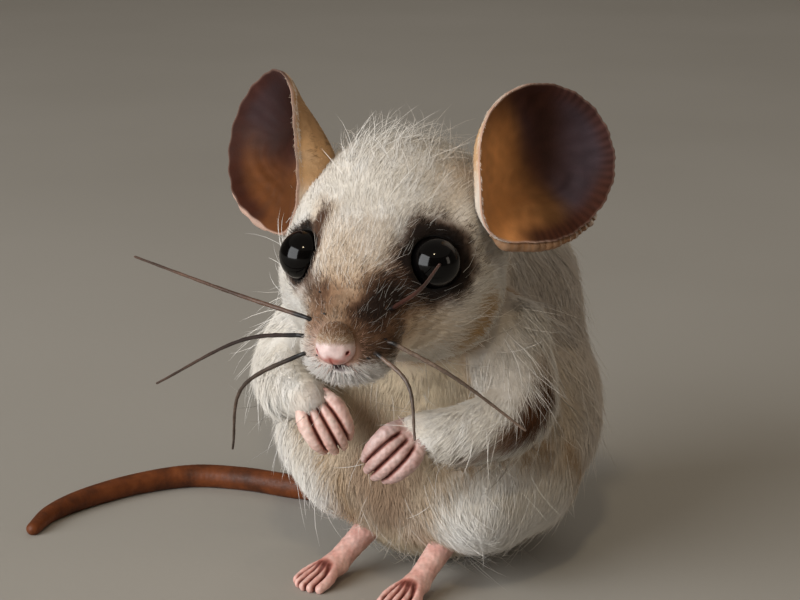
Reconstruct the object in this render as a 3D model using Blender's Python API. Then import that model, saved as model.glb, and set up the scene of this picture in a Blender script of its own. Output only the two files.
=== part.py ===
"""A needle-felted toy mouse with siamese markings, sitting up: real size, in metres, +Z up.

The mouse faces -Y and its own left is +X. The origin is on the floor, in the middle of the flat
under its rump. Lengths below are millimetres times MM where they reach Blender.
"""

import math
import random

import bmesh
import bpy
import numpy as np
from mathutils import Matrix, Vector

MM = 0.001
GAP = 0.3
SIDES = {"left": 1, "right": -1}

# Felted forms are balls melted together: (x, y, z), radius. Paired forms are given for the left.
TORSO_HEART = (0, -1, 19)
TORSO_BALLS = [
    ((0, 0, 13.5), 14.5),
    ((0.3, 1.8, 21.5), 13.6),
    ((4.4, 0, 17), 12.8),
    ((-4.4, 0, 17), 12.8),
    ((0, -5, 14.5), 11.8),
    ((0.5, 3.5, 29), 12.6),
    ((0, -5, 26), 10.5),
    ((0, -6, 34), 9),
]
TORSO_BLEND = 1.4

THIGH_HEART = (8.5, -7, 11)
THIGH_BALLS = {
    "left": [((7.8, -10, 10.6), 6.9), ((9.3, -4.5, 12), 7.9)],
    "right": [((6.8, -9.5, 12), 6.4), ((10.6, -4.5, 13.6), 7.9)],
}
THIGH_BLEND = 1.3

# The head has its own frame, with its origin midway between the eyes.
HEAD_PLACE = (1.4, -23.1, 38.4)
HEAD_TURN = 6
HEAD_ROLL = -1
HEAD_HEART = (0, 5, -3)
HEAD_BALLS = [
    ((0, 10, -0.3), 11.3),
    ((4.2, 6.8, -4.6), 7.4),
    ((-4.2, 6.8, -4.6), 7.4),
    ((4.5, 3.2, -0.9), 4.5),
    ((-4.5, 3.2, -0.9), 4.5),
    ((0, 0.5, -3.6), 6.6),
    ((0, -5.6, -6.8), 3.5),
    ((2.1, -5.8, -7.6), 2.5),
    ((-2.1, -5.8, -7.6), 2.5),
]
HEAD_BLEND = 1.3
EYE_PLACES = {"left": (7.0, 0.0, 0.0), "right": (-6.4, -0.5, 0.0)}
EYE_R = 2.5
NOSE_HEART = (0, -9.2, -6.1)
NOSE_BALLS = [((0, -9.2, -5.8), 1.55), ((0.75, -9.1, -6.6), 1.2), ((-0.75, -9.1, -6.6), 1.2)]
NOSE_BLEND = 0.5
MOUTH_PLACE = (0, -9.2, -10.1)
MOUTH_R = 1.2

# Loose wisps of wool stand up from the crown and lean back to the left.
CROWN_LOCKS = 9
CROWN_TURN = 137.5
CROWN_SPREAD = 3.8
CROWN_MIDDLE = (0.6, 6.5, 12)
CROWN_LEAN = (0.5, 0.4, 1.0)
LOCK_REACH = (2.0, 3.8)
LOCK_R = (0.55, 0.42, 0.3, 0.1)

# Each ear is a leather cup that a solid root joins to the head.
EAR_PLACES = {"left": (12.8, 11.4, 7.6), "right": (-11.9, 11.4, 7.6)}
EAR_ROOT = (7.6, 11.0, 3.6)
EAR_FACING = 42
EAR_TILT = 8
EAR_ROLL = {"left": 0, "right": 14}
EAR_LEAN = {"left": 0, "right": 12}
EAR_HIGH = 8.3
EAR_LOW = {"left": 8.3, "right": 7.3}
EAR_WIDE_OUT = 8.4
EAR_WIDE_IN = 7.2
EAR_CORNER = 0.22
EAR_CORNER_AT = 220
EAR_CUP = 3.4
EAR_CURL = {"left": 0.55, "right": 0.42}
EAR_CURL_AT = {"left": 220, "right": 130}
EAR_THICK = 1.1
EAR_PLEATS = 20
EAR_PLEAT_DEPTH = 0.16
EAR_PLEATS_FROM = 0.72
EAR_ROOT_SPREAD = 0.62
EAR_ROOT_NECK = 0.45
# A roll of plush swells the ear's back and stands past its rim on the side by the head.
EAR_ROLL_AT = 195
EAR_ROLL_DEEP = {"left": 1.6, "right": 3.2}
EAR_ROLL_PAST = {"left": 0.02, "right": 0.12}

# Whiskers run through three points in the head's frame: root, middle, tip.
WHISKERS = {
    "whisker_right_upper": ((-2.9, -7.2, -4.6), (-13.2, -3.4, -3.5), (-26.7, 2.9, -2.2)),
    "whisker_right_middle": ((-2.8, -8.1, -5.8), (-12.3, -3.5, -8.4), (-24.5, 2.1, -15.5)),
    "whisker_right_lower": ((-2.6, -8.5, -7.1), (-11.2, -5.7, -12.4), (-13.1, -4.6, -19.4)),
    "whisker_left_upper": ((4.2, -4.8, -3.6), (9.1, -10.9, 0.1), (12.8, -16.3, 4.0)),
    "whisker_left_middle": ((4.3, -6.6, -6.2), (10.9, -6.1, -9.6), (17.4, -4.8, -14.6)),
    "whisker_left_lower": ((3.5, -8.0, -7.0), (7.4, -9.7, -9.5), (8.4, -10.9, -14.4)),
}
WHISKER_R = (0.34, 0.26)

# Arms: points through shoulder, elbow and wrist, with the radius at each.
ARMS = {
    "left": (
        ((10.5, -9.5, 28), (13.2, -12.5, 22.0), (11, -17.5, 20.2), (6.2, -21, 20.2)),
        (5.0, 4.5, 3.6, 2.5),
    ),
    "right": (
        ((-9.5, -9.5, 29), (-12.2, -13.5, 24), (-10.2, -18, 22.4), (-6.4, -21, 22.2)),
        (4.8, 4.3, 3.6, 2.5),
    ),
}
HANDS = {
    "left": ((5.4, -21.2, 20.2), (-0.545, -0.531, -0.656)),
    "right": ((-5.8, -21.1, 22.2), (0.543, -0.02, -0.837)),
}
HAND_BACK = (0.4465, -0.8397, 0.309)
PALM_HEART = (0.8, 0, -0.3)
PALM_BALLS = [((1.8, y, -0.6), 1.6) for y in (-1.15, 0, 1.15)] + [((0, 0, -0.4), 1.6)]
PALM_BLEND = 0.5
FINGERS = 4
FINGER_PITCH = 1.22
FINGER_SHORTER = 0.28
FINGER_R = (0.6, 0.8, 0.72, 0.5)

# Each foot has its own frame: origin on the floor under the ankle, toes along -Y.
FEET = {"left": ((3.9, -14.4), -12), "right": ((-6.0, -13.4), -22)}
FOOT_SHANK = ((0, 4.4, 5.4), (0, 1.2, 3.4), (0, -1.2, 2.0), (0, -2.8, 1.4))
FOOT_SHANK_R = (1.5, 1.3, 1.25, 1.3)
TOES = 5
TOE_SPREAD = (0.5, 0.86)
TOE_SHORTER = 0.16
TOE_R = (0.66, 0.56)

TAIL_ROUTE = (
    (-4, 7, 4.5),
    (-13, 6.6, 2.3),
    (-21.5, 5.6, 1.35),
    (-29, 5.4, 1.3),
    (-35.5, 3.6, 1.25),
    (-40.2, -1.4, 1.18),
    (-43.2, -7.8, 1.08),
    (-44.4, -13.4, 0.9),
    (-43.8, -17.8, 0.66),
)
TAIL_R = (1.7, 1.6, 1.47, 1.42, 1.37, 1.3, 1.2, 1.02, 0.78)
TAIL_PARTS = {"tail_root": (0.0, 0.36), "tail_middle": (0.36, 0.7), "tail_tip": (0.7, 1.0)}
TAIL_STEPS = 48
FLOOR_SIZE = 140
FLOOR_DEPTH = 12
FAR_OUT = 60.0

COLOURS = {
    "fur_cream": ((0.83, 0.77, 0.66), 0.9),
    "leather_brown": ((0.26, 0.12, 0.07), 0.5),
    "glass_black": ((0.01, 0.01, 0.012), 0.05),
    "clay_pink": ((0.78, 0.45, 0.38), 0.55),
    "cord_terracotta": ((0.42, 0.17, 0.1), 0.6),
    "strand_brown": ((0.16, 0.09, 0.06), 0.45),
}


def start_scene():
    for old in list(bpy.data.objects):
        bpy.data.objects.remove(old)
    groups = {}
    for title in ("toy_mouse", "cutters"):
        groups[title] = bpy.data.collections.new(title)
        bpy.context.scene.collection.children.link(groups[title])
    return groups


def make_materials():
    made = {}
    for title, (colour, roughness) in COLOURS.items():
        material = bpy.data.materials.new(title)
        material.use_nodes = True
        shader = material.node_tree.nodes["Principled BSDF"]
        shader.inputs["Base Color"].default_value = (*colour, 1)
        shader.inputs["Roughness"].default_value = roughness
        made[title] = material
    return made


def mirrored(point, side):
    return (point[0] * SIDES[side], point[1], point[2])


def head_matrix():
    """The head's frame: turned about the neck and rolled a little towards the right shoulder."""
    turn = Matrix.Rotation(math.radians(HEAD_TURN), 4, "Z")
    roll = Matrix.Rotation(math.radians(HEAD_ROLL), 4, "Y")
    return Matrix.Translation(Vector(HEAD_PLACE)) @ turn @ roll


def from_bmesh(name, bm, group):
    """A new object in millimetre numbers, brought to metres."""
    bmesh.ops.recalc_face_normals(bm, faces=bm.faces)
    mesh = bpy.data.meshes.new(name)
    bm.to_mesh(mesh)
    bm.free()
    mesh.transform(Matrix.Scale(MM, 4))
    made = bpy.data.objects.new(name, mesh)
    group.objects.link(made)
    if group.name == "cutters":
        made.hide_render = True
        made.display_type = "WIRE"
    return made


def melted(points, balls, blend, grow):
    """Distance from each point to the skin of the melted balls, negative inside."""
    total = np.zeros(len(points))
    for centre, radius in balls:
        away = np.linalg.norm(points - np.array(centre, float), axis=1) - radius - grow
        total += np.exp(-away / blend)
    return -blend * np.log(total)


def skin_reach(heart, ways, balls, blend, grow=0.0):
    """How far each way runs from the heart before it leaves the melted balls."""
    near = np.zeros(len(ways))
    far = np.full(len(ways), FAR_OUT)
    for _ in range(40):
        middle = (near + far) / 2
        inside = melted(np.array(heart) + ways * middle[:, None], balls, blend, grow) < 0
        near = np.where(inside, middle, near)
        far = np.where(inside, far, middle)
    return near


def blob(name, group, heart, balls, blend, segments, rings, pole=(0, 0, 1), grow=0.0, place=None):
    """A sphere whose points are pushed out from the heart to the skin of the melted balls."""
    bm = bmesh.new()
    bmesh.ops.create_uvsphere(bm, u_segments=segments, v_segments=rings, radius=1)
    turn = Vector(pole).to_track_quat("Z", "X").to_matrix()
    ways = np.array([turn @ v.co for v in bm.verts])
    ways /= np.linalg.norm(ways, axis=1)[:, None]
    reaches = skin_reach(heart, ways, balls, blend, grow)
    for vert, way, reach in zip(bm.verts, ways, reaches):
        vert.co = Vector(heart) + Vector(way) * reach
    if place is not None:
        bmesh.ops.transform(bm, matrix=place, verts=bm.verts)
    return from_bmesh(name, bm, group)


def smooth_route(points, count, start=0.0, end=1.0):
    """Points along a Catmull-Rom curve through the given ones, which may carry a radius."""
    known = np.array(points, float)
    ghost_first = 2 * known[0] - known[1]
    ghost_last = 2 * known[-1] - known[-2]
    all_points = np.vstack([ghost_first, known, ghost_last])
    made = []
    for share in np.linspace(start, end, count):
        along = min(share * (len(known) - 1), len(known) - 1 - 1e-9)
        i = int(along)
        t = along - i
        a, b, c, d = all_points[i : i + 4]
        made.append(
            0.5 * (2 * b + (c - a) * t + (2 * a - 5 * b + 4 * c - d) * t**2 + (3 * b - a - 3 * c + d) * t**3)
        )
    return np.array(made)


def round_end(centre, before, radius):
    """Points and radii that close a tube with a dome."""
    way = (centre - before) / np.linalg.norm(centre - before)
    angles = [math.radians(a) for a in (30, 56, 76)]
    return [np.append(centre + way * radius * math.sin(a), radius * math.cos(a)) for a in angles]


def tube(name, group, route, resolution, grow=0.0, domes=(True, True), place=None):
    """A bevelled curve through route's points (x, y, z, radius), made a closed mesh."""
    points = [np.array(p, float) for p in route]
    if domes[0]:
        points = round_end(points[0][:3], points[1][:3], points[0][3])[::-1] + points
    if domes[1]:
        points = points + round_end(points[-1][:3], points[-2][:3], points[-1][3])
    curve = bpy.data.curves.new(name, "CURVE")
    curve.dimensions = "3D"
    curve.bevel_depth = 1.0
    curve.bevel_resolution = resolution
    curve.use_fill_caps = True
    spline = curve.splines.new("POLY")
    spline.points.add(len(points) - 1)
    for knot, p in zip(spline.points, points):
        knot.co = (*p[:3], 1)
        knot.radius = p[3] + grow
    guide = bpy.data.objects.new(name + "_guide", curve)
    group.objects.link(guide)
    bpy.context.view_layer.update()
    graph = bpy.context.evaluated_depsgraph_get()
    mesh = bpy.data.meshes.new_from_object(guide.evaluated_get(graph))
    bm = bmesh.new()
    bm.from_mesh(mesh)
    bmesh.ops.remove_doubles(bm, verts=bm.verts, dist=1e-4)
    if place is not None:
        bmesh.ops.transform(bm, matrix=place, verts=bm.verts)
    bpy.data.objects.remove(guide)
    bpy.data.meshes.remove(mesh)
    bpy.data.curves.remove(curve)
    return from_bmesh(name, bm, group)


def keep_largest(obj):
    """Leaves only the largest closed surface of a mesh object."""
    bm = bmesh.new()
    bm.from_mesh(obj.data)
    bmesh.ops.triangulate(bm, faces=bm.faces)
    unseen = set(bm.verts)
    shells = []
    while unseen:
        stack = [unseen.pop()]
        shell = set(stack)
        while stack:
            for edge in stack.pop().link_edges:
                for vert in edge.verts:
                    if vert in unseen:
                        unseen.remove(vert)
                        shell.add(vert)
                        stack.append(vert)
        shells.append(shell)
    spans = [max(v.co.length for v in s) - min(v.co.length for v in s) + len(s) * 1e-6 for s in shells]
    kept = shells[spans.index(max(spans))]
    bmesh.ops.delete(bm, geom=[v for v in bm.verts if v not in kept], context="VERTS")
    bm.to_mesh(obj.data)
    bm.free()


def apply_booleans(obj):
    """Replaces the object's mesh by what its modifiers make of it."""
    bpy.context.view_layer.update()
    graph = bpy.context.evaluated_depsgraph_get()
    mesh = bpy.data.meshes.new_from_object(obj.evaluated_get(graph))
    obj.modifiers.clear()
    obj.data = mesh
    keep_largest(obj)


def cut(obj, *cutters):
    for cutter in cutters:
        step = obj.modifiers.new("cut_" + cutter.name, "BOOLEAN")
        step.operation = "DIFFERENCE"
        step.object = cutter
    apply_booleans(obj)
    return obj


def fuse(name, group, pieces):
    """One closed mesh from several that overlap."""
    first, rest = pieces[0], pieces[1:]
    helpers = bpy.data.collections.new(name + "_pieces")
    bpy.context.scene.collection.children.link(helpers)
    for piece in rest:
        for home in list(piece.users_collection):
            home.objects.unlink(piece)
        helpers.objects.link(piece)
    step = first.modifiers.new("join", "BOOLEAN")
    step.operation = "UNION"
    step.operand_type = "COLLECTION"
    step.collection = helpers
    apply_booleans(first)
    for piece in rest:
        bpy.data.objects.remove(piece)
    bpy.data.collections.remove(helpers)
    first.name = name
    return first


def make_floor(group):
    """The block that trims whatever rests on the floor to one level."""
    bm = bmesh.new()
    bmesh.ops.create_cube(bm, size=1)
    bmesh.ops.scale(bm, vec=(FLOOR_SIZE, FLOOR_SIZE, FLOOR_DEPTH), verts=bm.verts)
    bmesh.ops.translate(bm, vec=(0, 0, -FLOOR_DEPTH / 2), verts=bm.verts)
    return from_bmesh("floor_cutter", bm, group)


def make_torso(group, grow=0.0):
    name = "torso" if grow == 0 else "torso_cutter"
    return blob(name, group, TORSO_HEART, TORSO_BALLS, TORSO_BLEND, 32, 22, grow=grow)


def make_thigh(group, side, grow=0.0):
    name = f"thigh_{side}" if grow == 0 else f"thigh_{side}_cutter"
    balls = [(mirrored(c, side), r) for c, r in THIGH_BALLS[side]]
    heart = mirrored(THIGH_HEART, side)
    pole = mirrored((1, -0.6, 0.2), side)
    return blob(name, group, heart, balls, THIGH_BLEND, 24, 15, pole, grow)


def make_head(group, grow=0.0):
    name = "head" if grow == 0 else "head_cutter"
    pole = (0, -0.86, -0.5)
    return blob(name, group, HEAD_HEART, HEAD_BALLS, HEAD_BLEND, 36, 26, pole, grow, head_matrix())


def make_crown_locks(group):
    """Short tapered wisps, rooted in the top of the skull."""
    chance = random.Random(7)
    lean = Vector(CROWN_LEAN).normalized()
    locks = []
    for i in range(CROWN_LOCKS):
        turn = i * math.radians(CROWN_TURN)
        away = CROWN_SPREAD * math.sqrt((i + 0.5) / CROWN_LOCKS)
        aim = Vector(CROWN_MIDDLE) + Vector((away * math.cos(turn), away * math.sin(turn), 0))
        aim.normalize()
        reach = skin_reach(HEAD_HEART, np.array([aim]), HEAD_BALLS, HEAD_BLEND)[0]
        root = Vector(HEAD_HEART) + aim * (reach - 1.0)
        long = chance.uniform(*LOCK_REACH)
        swing = Vector((chance.uniform(-1, 1), chance.uniform(-0.6, 0.6), 0))
        bend = (lean - aim + swing) * 0.5
        points = [root + (aim * t + bend * t * t) * (1 + long) for t in (0, 0.4, 0.72, 1)]
        route = [(*p, r) for p, r in zip(points, LOCK_R)]
        locks.append(tube(f"crown_lock_{i}", group, route, 0, domes=(False, False), place=head_matrix()))
    return locks


def make_eye(group, side, grow=0.0):
    name = f"eye_{side}" if grow == 0 else f"eye_{side}_cutter"
    balls = [(EYE_PLACES[side], EYE_R)]
    pole = mirrored((0.8, -0.6, 0.1), side)
    return blob(name, group, balls[0][0], balls, 1, 18, 11, pole, grow, head_matrix())


def make_nose(group, grow=0.0):
    return blob("nose", group, NOSE_HEART, NOSE_BALLS, NOSE_BLEND, 16, 10, (0, -1, 0), grow, head_matrix())


def make_mouth(group):
    balls = [(MOUTH_PLACE, MOUTH_R)]
    return blob("mouth_cutter", group, MOUTH_PLACE, balls, 1, 14, 8, place=head_matrix())


def ear_reach(angle, side):
    """How far the ear's rim is from its middle: egg-shaped, with a corner low down by the head."""
    wide = EAR_WIDE_OUT if math.cos(angle) > 0 else EAR_WIDE_IN
    high = EAR_HIGH if math.sin(angle) > 0 else EAR_LOW[side]
    corner = max(0, math.cos(angle - math.radians(EAR_CORNER_AT))) ** 12
    return (1 + EAR_CORNER * corner) / math.hypot(math.cos(angle) / wide, math.sin(angle) / high)


def soft_step(low, high, value):
    """0 below low, 1 above high, with a soft step between."""
    share = min(1, max(0, (value - low) / (high - low)))
    return share * share * (3 - 2 * share)


def make_ear(group, side):
    """A leather cup with a pleated rim: a sphere folded so that its upper half is the cup's inside."""
    bm = bmesh.new()
    bmesh.ops.create_uvsphere(bm, u_segments=60, v_segments=12, radius=1)
    centre = Vector(mirrored(EAR_PLACES[side], side))
    facing = math.radians(EAR_FACING)
    tilt = math.radians(EAR_TILT)
    front = Vector((math.sin(facing) * math.cos(tilt), -math.cos(facing) * math.cos(tilt), math.sin(tilt)))
    out = Vector((math.cos(facing), math.sin(facing), 0))
    up = out.cross(front) * -1
    if up.z < 0:
        up.negate()
    roll = math.radians(EAR_ROLL[side])
    out, up = out * math.cos(roll) + up * math.sin(roll), up * math.cos(roll) - out * math.sin(roll)
    lean = Matrix.Rotation(math.radians(-EAR_LEAN[side]), 3, "Y")
    front, out, up = (lean @ axis for axis in (front, out, up))
    root = Vector(EAR_ROOT) - centre
    for vert in bm.verts:
        polar = math.acos(max(-1, min(1, vert.co.z)))
        angle = math.atan2(vert.co.y, vert.co.x)
        inner = polar <= math.pi / 2
        share = min(polar, math.pi - polar) / (math.pi / 2)
        rho = 1 - (1 - share) ** 1.8
        curl = 1 + EAR_CURL[side] * max(0, math.cos(angle - math.radians(EAR_CURL_AT[side])))
        forward = EAR_CUP * rho**2.2 * curl
        pleat = math.sin(EAR_PLEATS * angle) * max(0, rho - EAR_PLEATS_FROM) / (1 - EAR_PLEATS_FROM)
        forward += EAR_PLEAT_DEPTH * pleat
        reach = ear_reach(angle, side) * rho * (1 + 0.012 * pleat)
        body = math.sqrt(max(0, 1 - share**8))
        point = out * reach * math.cos(angle) + up * reach * math.sin(angle)
        if inner:
            point += front * (forward + EAR_THICK / 2 * body)
        else:
            sink = soft_step(EAR_ROOT_SPREAD, 0, rho)
            swell = soft_step(-0.2, 0.9, math.cos(angle - math.radians(EAR_ROLL_AT)))
            past = 1 + EAR_ROLL_PAST[side] * swell * soft_step(1, 0.9, rho) * (1 - sink)
            behind = EAR_THICK / 2 * body + EAR_ROLL_DEEP[side] * swell * soft_step(1, 0.8, rho) * (1 - sink)
            shrink = 1 - (1 - EAR_ROOT_NECK) * sink
            point = point * past * shrink + front * (forward - behind) + root * sink
        vert.co = Vector(mirrored(centre + point, side))
    bmesh.ops.transform(bm, matrix=head_matrix(), verts=bm.verts)
    return from_bmesh(f"ear_{side}", bm, group)


def make_whisker(group, name):
    points = WHISKERS[name]
    route = smooth_route(points, 12)
    radii = np.linspace(*WHISKER_R, len(route))
    return tube(name, group, np.column_stack([route, radii]), 1, domes=(False, True), place=head_matrix())


def make_arm(group, side, grow=0.0):
    points, radii = ARMS[side]
    name = f"arm_{side}" if grow == 0 else f"arm_{side}_cutter"
    route = smooth_route(np.column_stack([points, radii]), 13)
    return tube(name, group, route, 4, grow)


def hand_frame(side):
    """x along the fingers, y across the hand, z out of the back of the hand."""
    wrist, way = HANDS[side]
    along = Vector(way).normalized()
    back = Vector(HAND_BACK)
    back = (back - along * back.dot(along)).normalized()
    across = back.cross(along)
    frame = Matrix((along, across, back)).transposed().to_4x4()
    return Matrix.Translation(Vector(wrist)) @ frame


def make_hand(group, side):
    frame = hand_frame(side)
    pieces = [blob(f"palm_{side}", group, PALM_HEART, PALM_BALLS, PALM_BLEND, 18, 11, (1, 0, 0), place=frame)]
    for i in range(FINGERS):
        offset = i - (FINGERS - 1) / 2
        y = offset * FINGER_PITCH
        short = FINGER_SHORTER * offset**2
        points = (
            (0.0, y * 0.72, 0.5),
            (2.3 - short, y, 1.15),
            (4.5 - short, y * 0.95, 0.5),
            (5.6 - short, y * 0.78, -1.1),
        )
        route = smooth_route(np.column_stack([points, FINGER_R]), 8)
        pieces.append(tube(f"finger_{side}_{i}", group, route, 1, place=frame))
    return fuse(f"hand_{side}", group, pieces)


def make_foot(group, side):
    """A shank that comes down into the foot, and five toes that fan out from it."""
    (x, y), turn = FEET[side]
    frame = Matrix.Translation((x, y, 0)) @ Matrix.Rotation(math.radians(turn), 4, "Z")
    route = smooth_route(np.column_stack([FOOT_SHANK, FOOT_SHANK_R]), 9)
    pieces = [tube(f"shank_{side}", group, route, 3, place=frame)]
    for i in range(TOES):
        offset = i - (TOES - 1) / 2
        short = TOE_SHORTER * offset**2
        root, tip = (offset * spread for spread in TOE_SPREAD)
        points = (
            (root * 0.6, -1.2, 1.5),
            (root, -2.6, 1.55),
            (tip, -4.6 + short, 1.05),
            (tip * 1.02, -6.0 + short, 0.4),
        )
        route = smooth_route(points, 7)
        radii = np.linspace(*TOE_R, len(route))
        pieces.append(tube(f"toe_{side}_{i}", group, np.column_stack([route, radii]), 1, place=frame))
    return fuse(f"foot_{side}", group, pieces)


def make_tail(group, name):
    start, end = TAIL_PARTS[name]
    whole = np.column_stack([TAIL_ROUTE, TAIL_R])
    steps = round(TAIL_STEPS * (end - start)) + 1
    route = smooth_route(whole, steps, start, end)
    if end < 1:
        back = route[-1, :3] - route[-2, :3]
        route[-1, :3] -= back / np.linalg.norm(back) * GAP
    return tube(name, group, route, 3, domes=(False, end == 1))


def dress(obj, material):
    obj.data.materials.clear()
    obj.data.materials.append(material)
    obj.data.shade_smooth()
    obj.data.set_sharp_from_angle(angle=math.radians(50))


def main():
    groups = start_scene()
    toy, tools = groups["toy_mouse"], groups["cutters"]
    materials = make_materials()
    floor = make_floor(tools)
    torso_cutter = make_torso(tools, GAP)
    head_cutter = make_head(tools, GAP)

    parts = {"fur_cream": [cut(make_torso(toy), floor)]}
    thigh_cutters = {side: make_thigh(tools, side, GAP) for side in SIDES}
    arm_cutters = {side: make_arm(tools, side, GAP) for side in SIDES}
    eye_cutters = [make_eye(tools, side, GAP) for side in SIDES]
    head = cut(make_head(toy), torso_cutter, *eye_cutters, make_mouth(tools))
    parts["fur_cream"].append(fuse("head", toy, [head] + make_crown_locks(toy)))
    parts["clay_pink"] = [cut(make_nose(toy), head_cutter)]
    parts["glass_black"] = []
    parts["leather_brown"] = []
    for side in SIDES:
        thigh = cut(make_thigh(toy, side), torso_cutter, floor)
        arm = cut(make_arm(toy, side), torso_cutter, thigh_cutters[side], head_cutter)
        hand = cut(make_hand(toy, side), arm_cutters[side])
        foot = cut(make_foot(toy, side), thigh_cutters[side], torso_cutter, floor)
        parts["fur_cream"] += [thigh, arm]
        parts["clay_pink"] += [hand, foot]
        parts["glass_black"].append(make_eye(toy, side))
        parts["leather_brown"].append(cut(make_ear(toy, side), head_cutter))
    parts["strand_brown"] = [cut(make_whisker(toy, name), head_cutter) for name in WHISKERS]
    parts["cord_terracotta"] = [cut(make_tail(toy, name), torso_cutter, floor) for name in TAIL_PARTS]
    for title, objects in parts.items():
        for obj in objects:
            dress(obj, materials[title])


main()
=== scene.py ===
"""Looks for the needle-felted toy mouse with siamese markings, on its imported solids.

One felted skin and its coat stand for the solids of the body. Leather ears and tail, glass eyes,
a clay nose, hands and feet and waxed whiskers stand for theirs. The mouse faces -Y, its own left
is +X and the floor is z = 0. Lengths are millimetres up to make_mesh, which brings them to metres.
"""

import math

import bpy
import numpy as np
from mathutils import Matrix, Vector


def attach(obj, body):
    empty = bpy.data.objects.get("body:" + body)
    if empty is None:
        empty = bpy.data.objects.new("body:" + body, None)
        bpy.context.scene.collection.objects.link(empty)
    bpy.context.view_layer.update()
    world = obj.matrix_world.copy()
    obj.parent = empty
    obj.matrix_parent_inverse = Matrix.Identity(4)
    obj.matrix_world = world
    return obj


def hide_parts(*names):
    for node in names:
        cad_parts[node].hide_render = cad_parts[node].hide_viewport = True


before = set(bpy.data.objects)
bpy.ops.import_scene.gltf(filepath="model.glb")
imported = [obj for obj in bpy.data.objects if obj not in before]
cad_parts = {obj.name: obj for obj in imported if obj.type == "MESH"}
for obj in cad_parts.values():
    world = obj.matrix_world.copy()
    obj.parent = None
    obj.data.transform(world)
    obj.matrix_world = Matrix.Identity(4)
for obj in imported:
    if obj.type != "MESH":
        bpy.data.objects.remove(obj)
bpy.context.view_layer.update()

MM = 0.001
SEED = 11
SIDES = {"left": 1, "right": -1}

# The forms below repeat the construction's. The scene's own are BROW_BALLS, NOSE_BALLS, NOSE_BLEND,
# EAR_LOW, EAR_OPEN, EAR_OPEN_AT, EAR_THICK, EAR_FINE_PLEATS, WHISKER_R, WHISKER_SINK, WHISKER_ROOT,
# PALM and FINGER_R.
TORSO_BALLS = [
    ((0, 0, 13.5), 14.5),
    ((0.3, 1.8, 21.5), 13.6),
    ((4.4, 0, 17), 12.8),
    ((-4.4, 0, 17), 12.8),
    ((0, -5, 14.5), 11.8),
    ((0.5, 3.5, 29), 12.6),
    ((0, -5, 26), 10.5),
    ((0, -6, 34), 9),
]
TORSO_BLEND = 1.4
THIGH_BALLS = {
    "left": [((7.8, -10, 10.6), 6.9), ((9.3, -4.5, 12), 7.9)],
    "right": [((6.8, -9.5, 12), 6.4), ((10.6, -4.5, 13.6), 7.9)],
}
THIGH_BLEND = 1.3
HEAD_PLACE = (1.4, -23.1, 38.4)
HEAD_TURN = 6
HEAD_ROLL = -1
HEAD_BALLS = [
    ((0, 10, -0.3), 11.3),
    ((4.2, 6.8, -4.6), 7.4),
    ((-4.2, 6.8, -4.6), 7.4),
    ((4.5, 3.2, -0.9), 4.5),
    ((-4.5, 3.2, -0.9), 4.5),
    ((0, 0.5, -3.6), 6.6),
    ((0, -5.6, -6.8), 3.5),
    ((2.1, -5.8, -7.6), 2.5),
    ((-2.1, -5.8, -7.6), 2.5),
]
HEAD_BLEND = 1.3
BROW_BALLS = [((1.8, 1.6, 0.8), 2.8), ((-1.8, 1.6, 0.8), 2.8)]
EYE_PLACES = {"left": (7.0, 0.0, 0.0), "right": (-6.4, -0.5, 0.0)}
EYE_R = 2.5
NOSE_BALLS = [
    ((0, -9.1, -5.7), 1.35),
    ((0.72, -9.1, -6.7), 1.1),
    ((-0.72, -9.1, -6.7), 1.1),
    ((0, -9.2, -6.9), 1.05),
]
NOSE_BLEND = 0.4
EAR_PLACES = {"left": (12.8, 11.4, 7.6), "right": (-11.9, 11.4, 7.6)}
EAR_ROOT = (7.6, 11.0, 3.6)
EAR_FACING = 42
EAR_TILT = 8
EAR_ROLL = {"left": 0, "right": 14}
EAR_LEAN = {"left": 0, "right": 12}
EAR_HIGH = 8.3
EAR_LOW = 7.3
EAR_WIDE_OUT = 8.4
EAR_WIDE_IN = 7.2
EAR_CORNER = 0.22
EAR_CORNER_AT = 220
EAR_CUP = 3.4
EAR_CURL = {"left": 0.55, "right": 0.42}
EAR_CURL_AT = {"left": 220, "right": 130}
EAR_OPEN = {"left": 0.0, "right": 0.65}
EAR_OPEN_AT = 205
EAR_THICK = 0.9
EAR_PLEATS = 20
EAR_PLEAT_DEPTH = 0.16
EAR_FINE_PLEATS = 58
EAR_ROOT_SPREAD = 0.62
EAR_ROLL_AT = 195
EAR_ROLL_DEEP = {"left": 1.6, "right": 3.2}
EAR_ROLL_PAST = {"left": 0.02, "right": 0.12}
WHISKERS = {
    "whisker_right_upper": ((-2.9, -7.2, -4.6), (-13.2, -3.4, -3.5), (-26.7, 2.9, -2.2)),
    "whisker_right_middle": ((-2.8, -8.1, -5.8), (-12.3, -3.5, -8.4), (-24.5, 2.1, -15.5)),
    "whisker_right_lower": ((-2.6, -8.5, -7.1), (-11.2, -5.7, -12.4), (-13.1, -4.6, -19.4)),
    "whisker_left_upper": ((4.2, -4.8, -3.6), (9.1, -10.9, 0.1), (12.8, -16.3, 4.0)),
    "whisker_left_middle": ((4.3, -6.6, -6.2), (10.9, -6.1, -9.6), (17.4, -4.8, -14.6)),
    "whisker_left_lower": ((3.5, -8.0, -7.0), (7.4, -9.7, -9.5), (8.4, -10.9, -14.4)),
}
WHISKER_R = (0.2, 0.11)
WHISKER_SINK = 1.5
WHISKER_ROOT = -0.25
ARMS = {
    "left": ((10.5, -9.5, 28), (13.2, -12.5, 22.0), (11, -17.5, 20.2), (6.2, -21, 20.2)),
    "right": ((-9.5, -9.5, 29), (-12.2, -13.5, 24), (-10.2, -18, 22.4), (-6.4, -21, 22.2)),
}
ARM_R = {"left": (5.0, 4.5, 3.6, 2.5), "right": (4.8, 4.3, 3.6, 2.5)}
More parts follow.
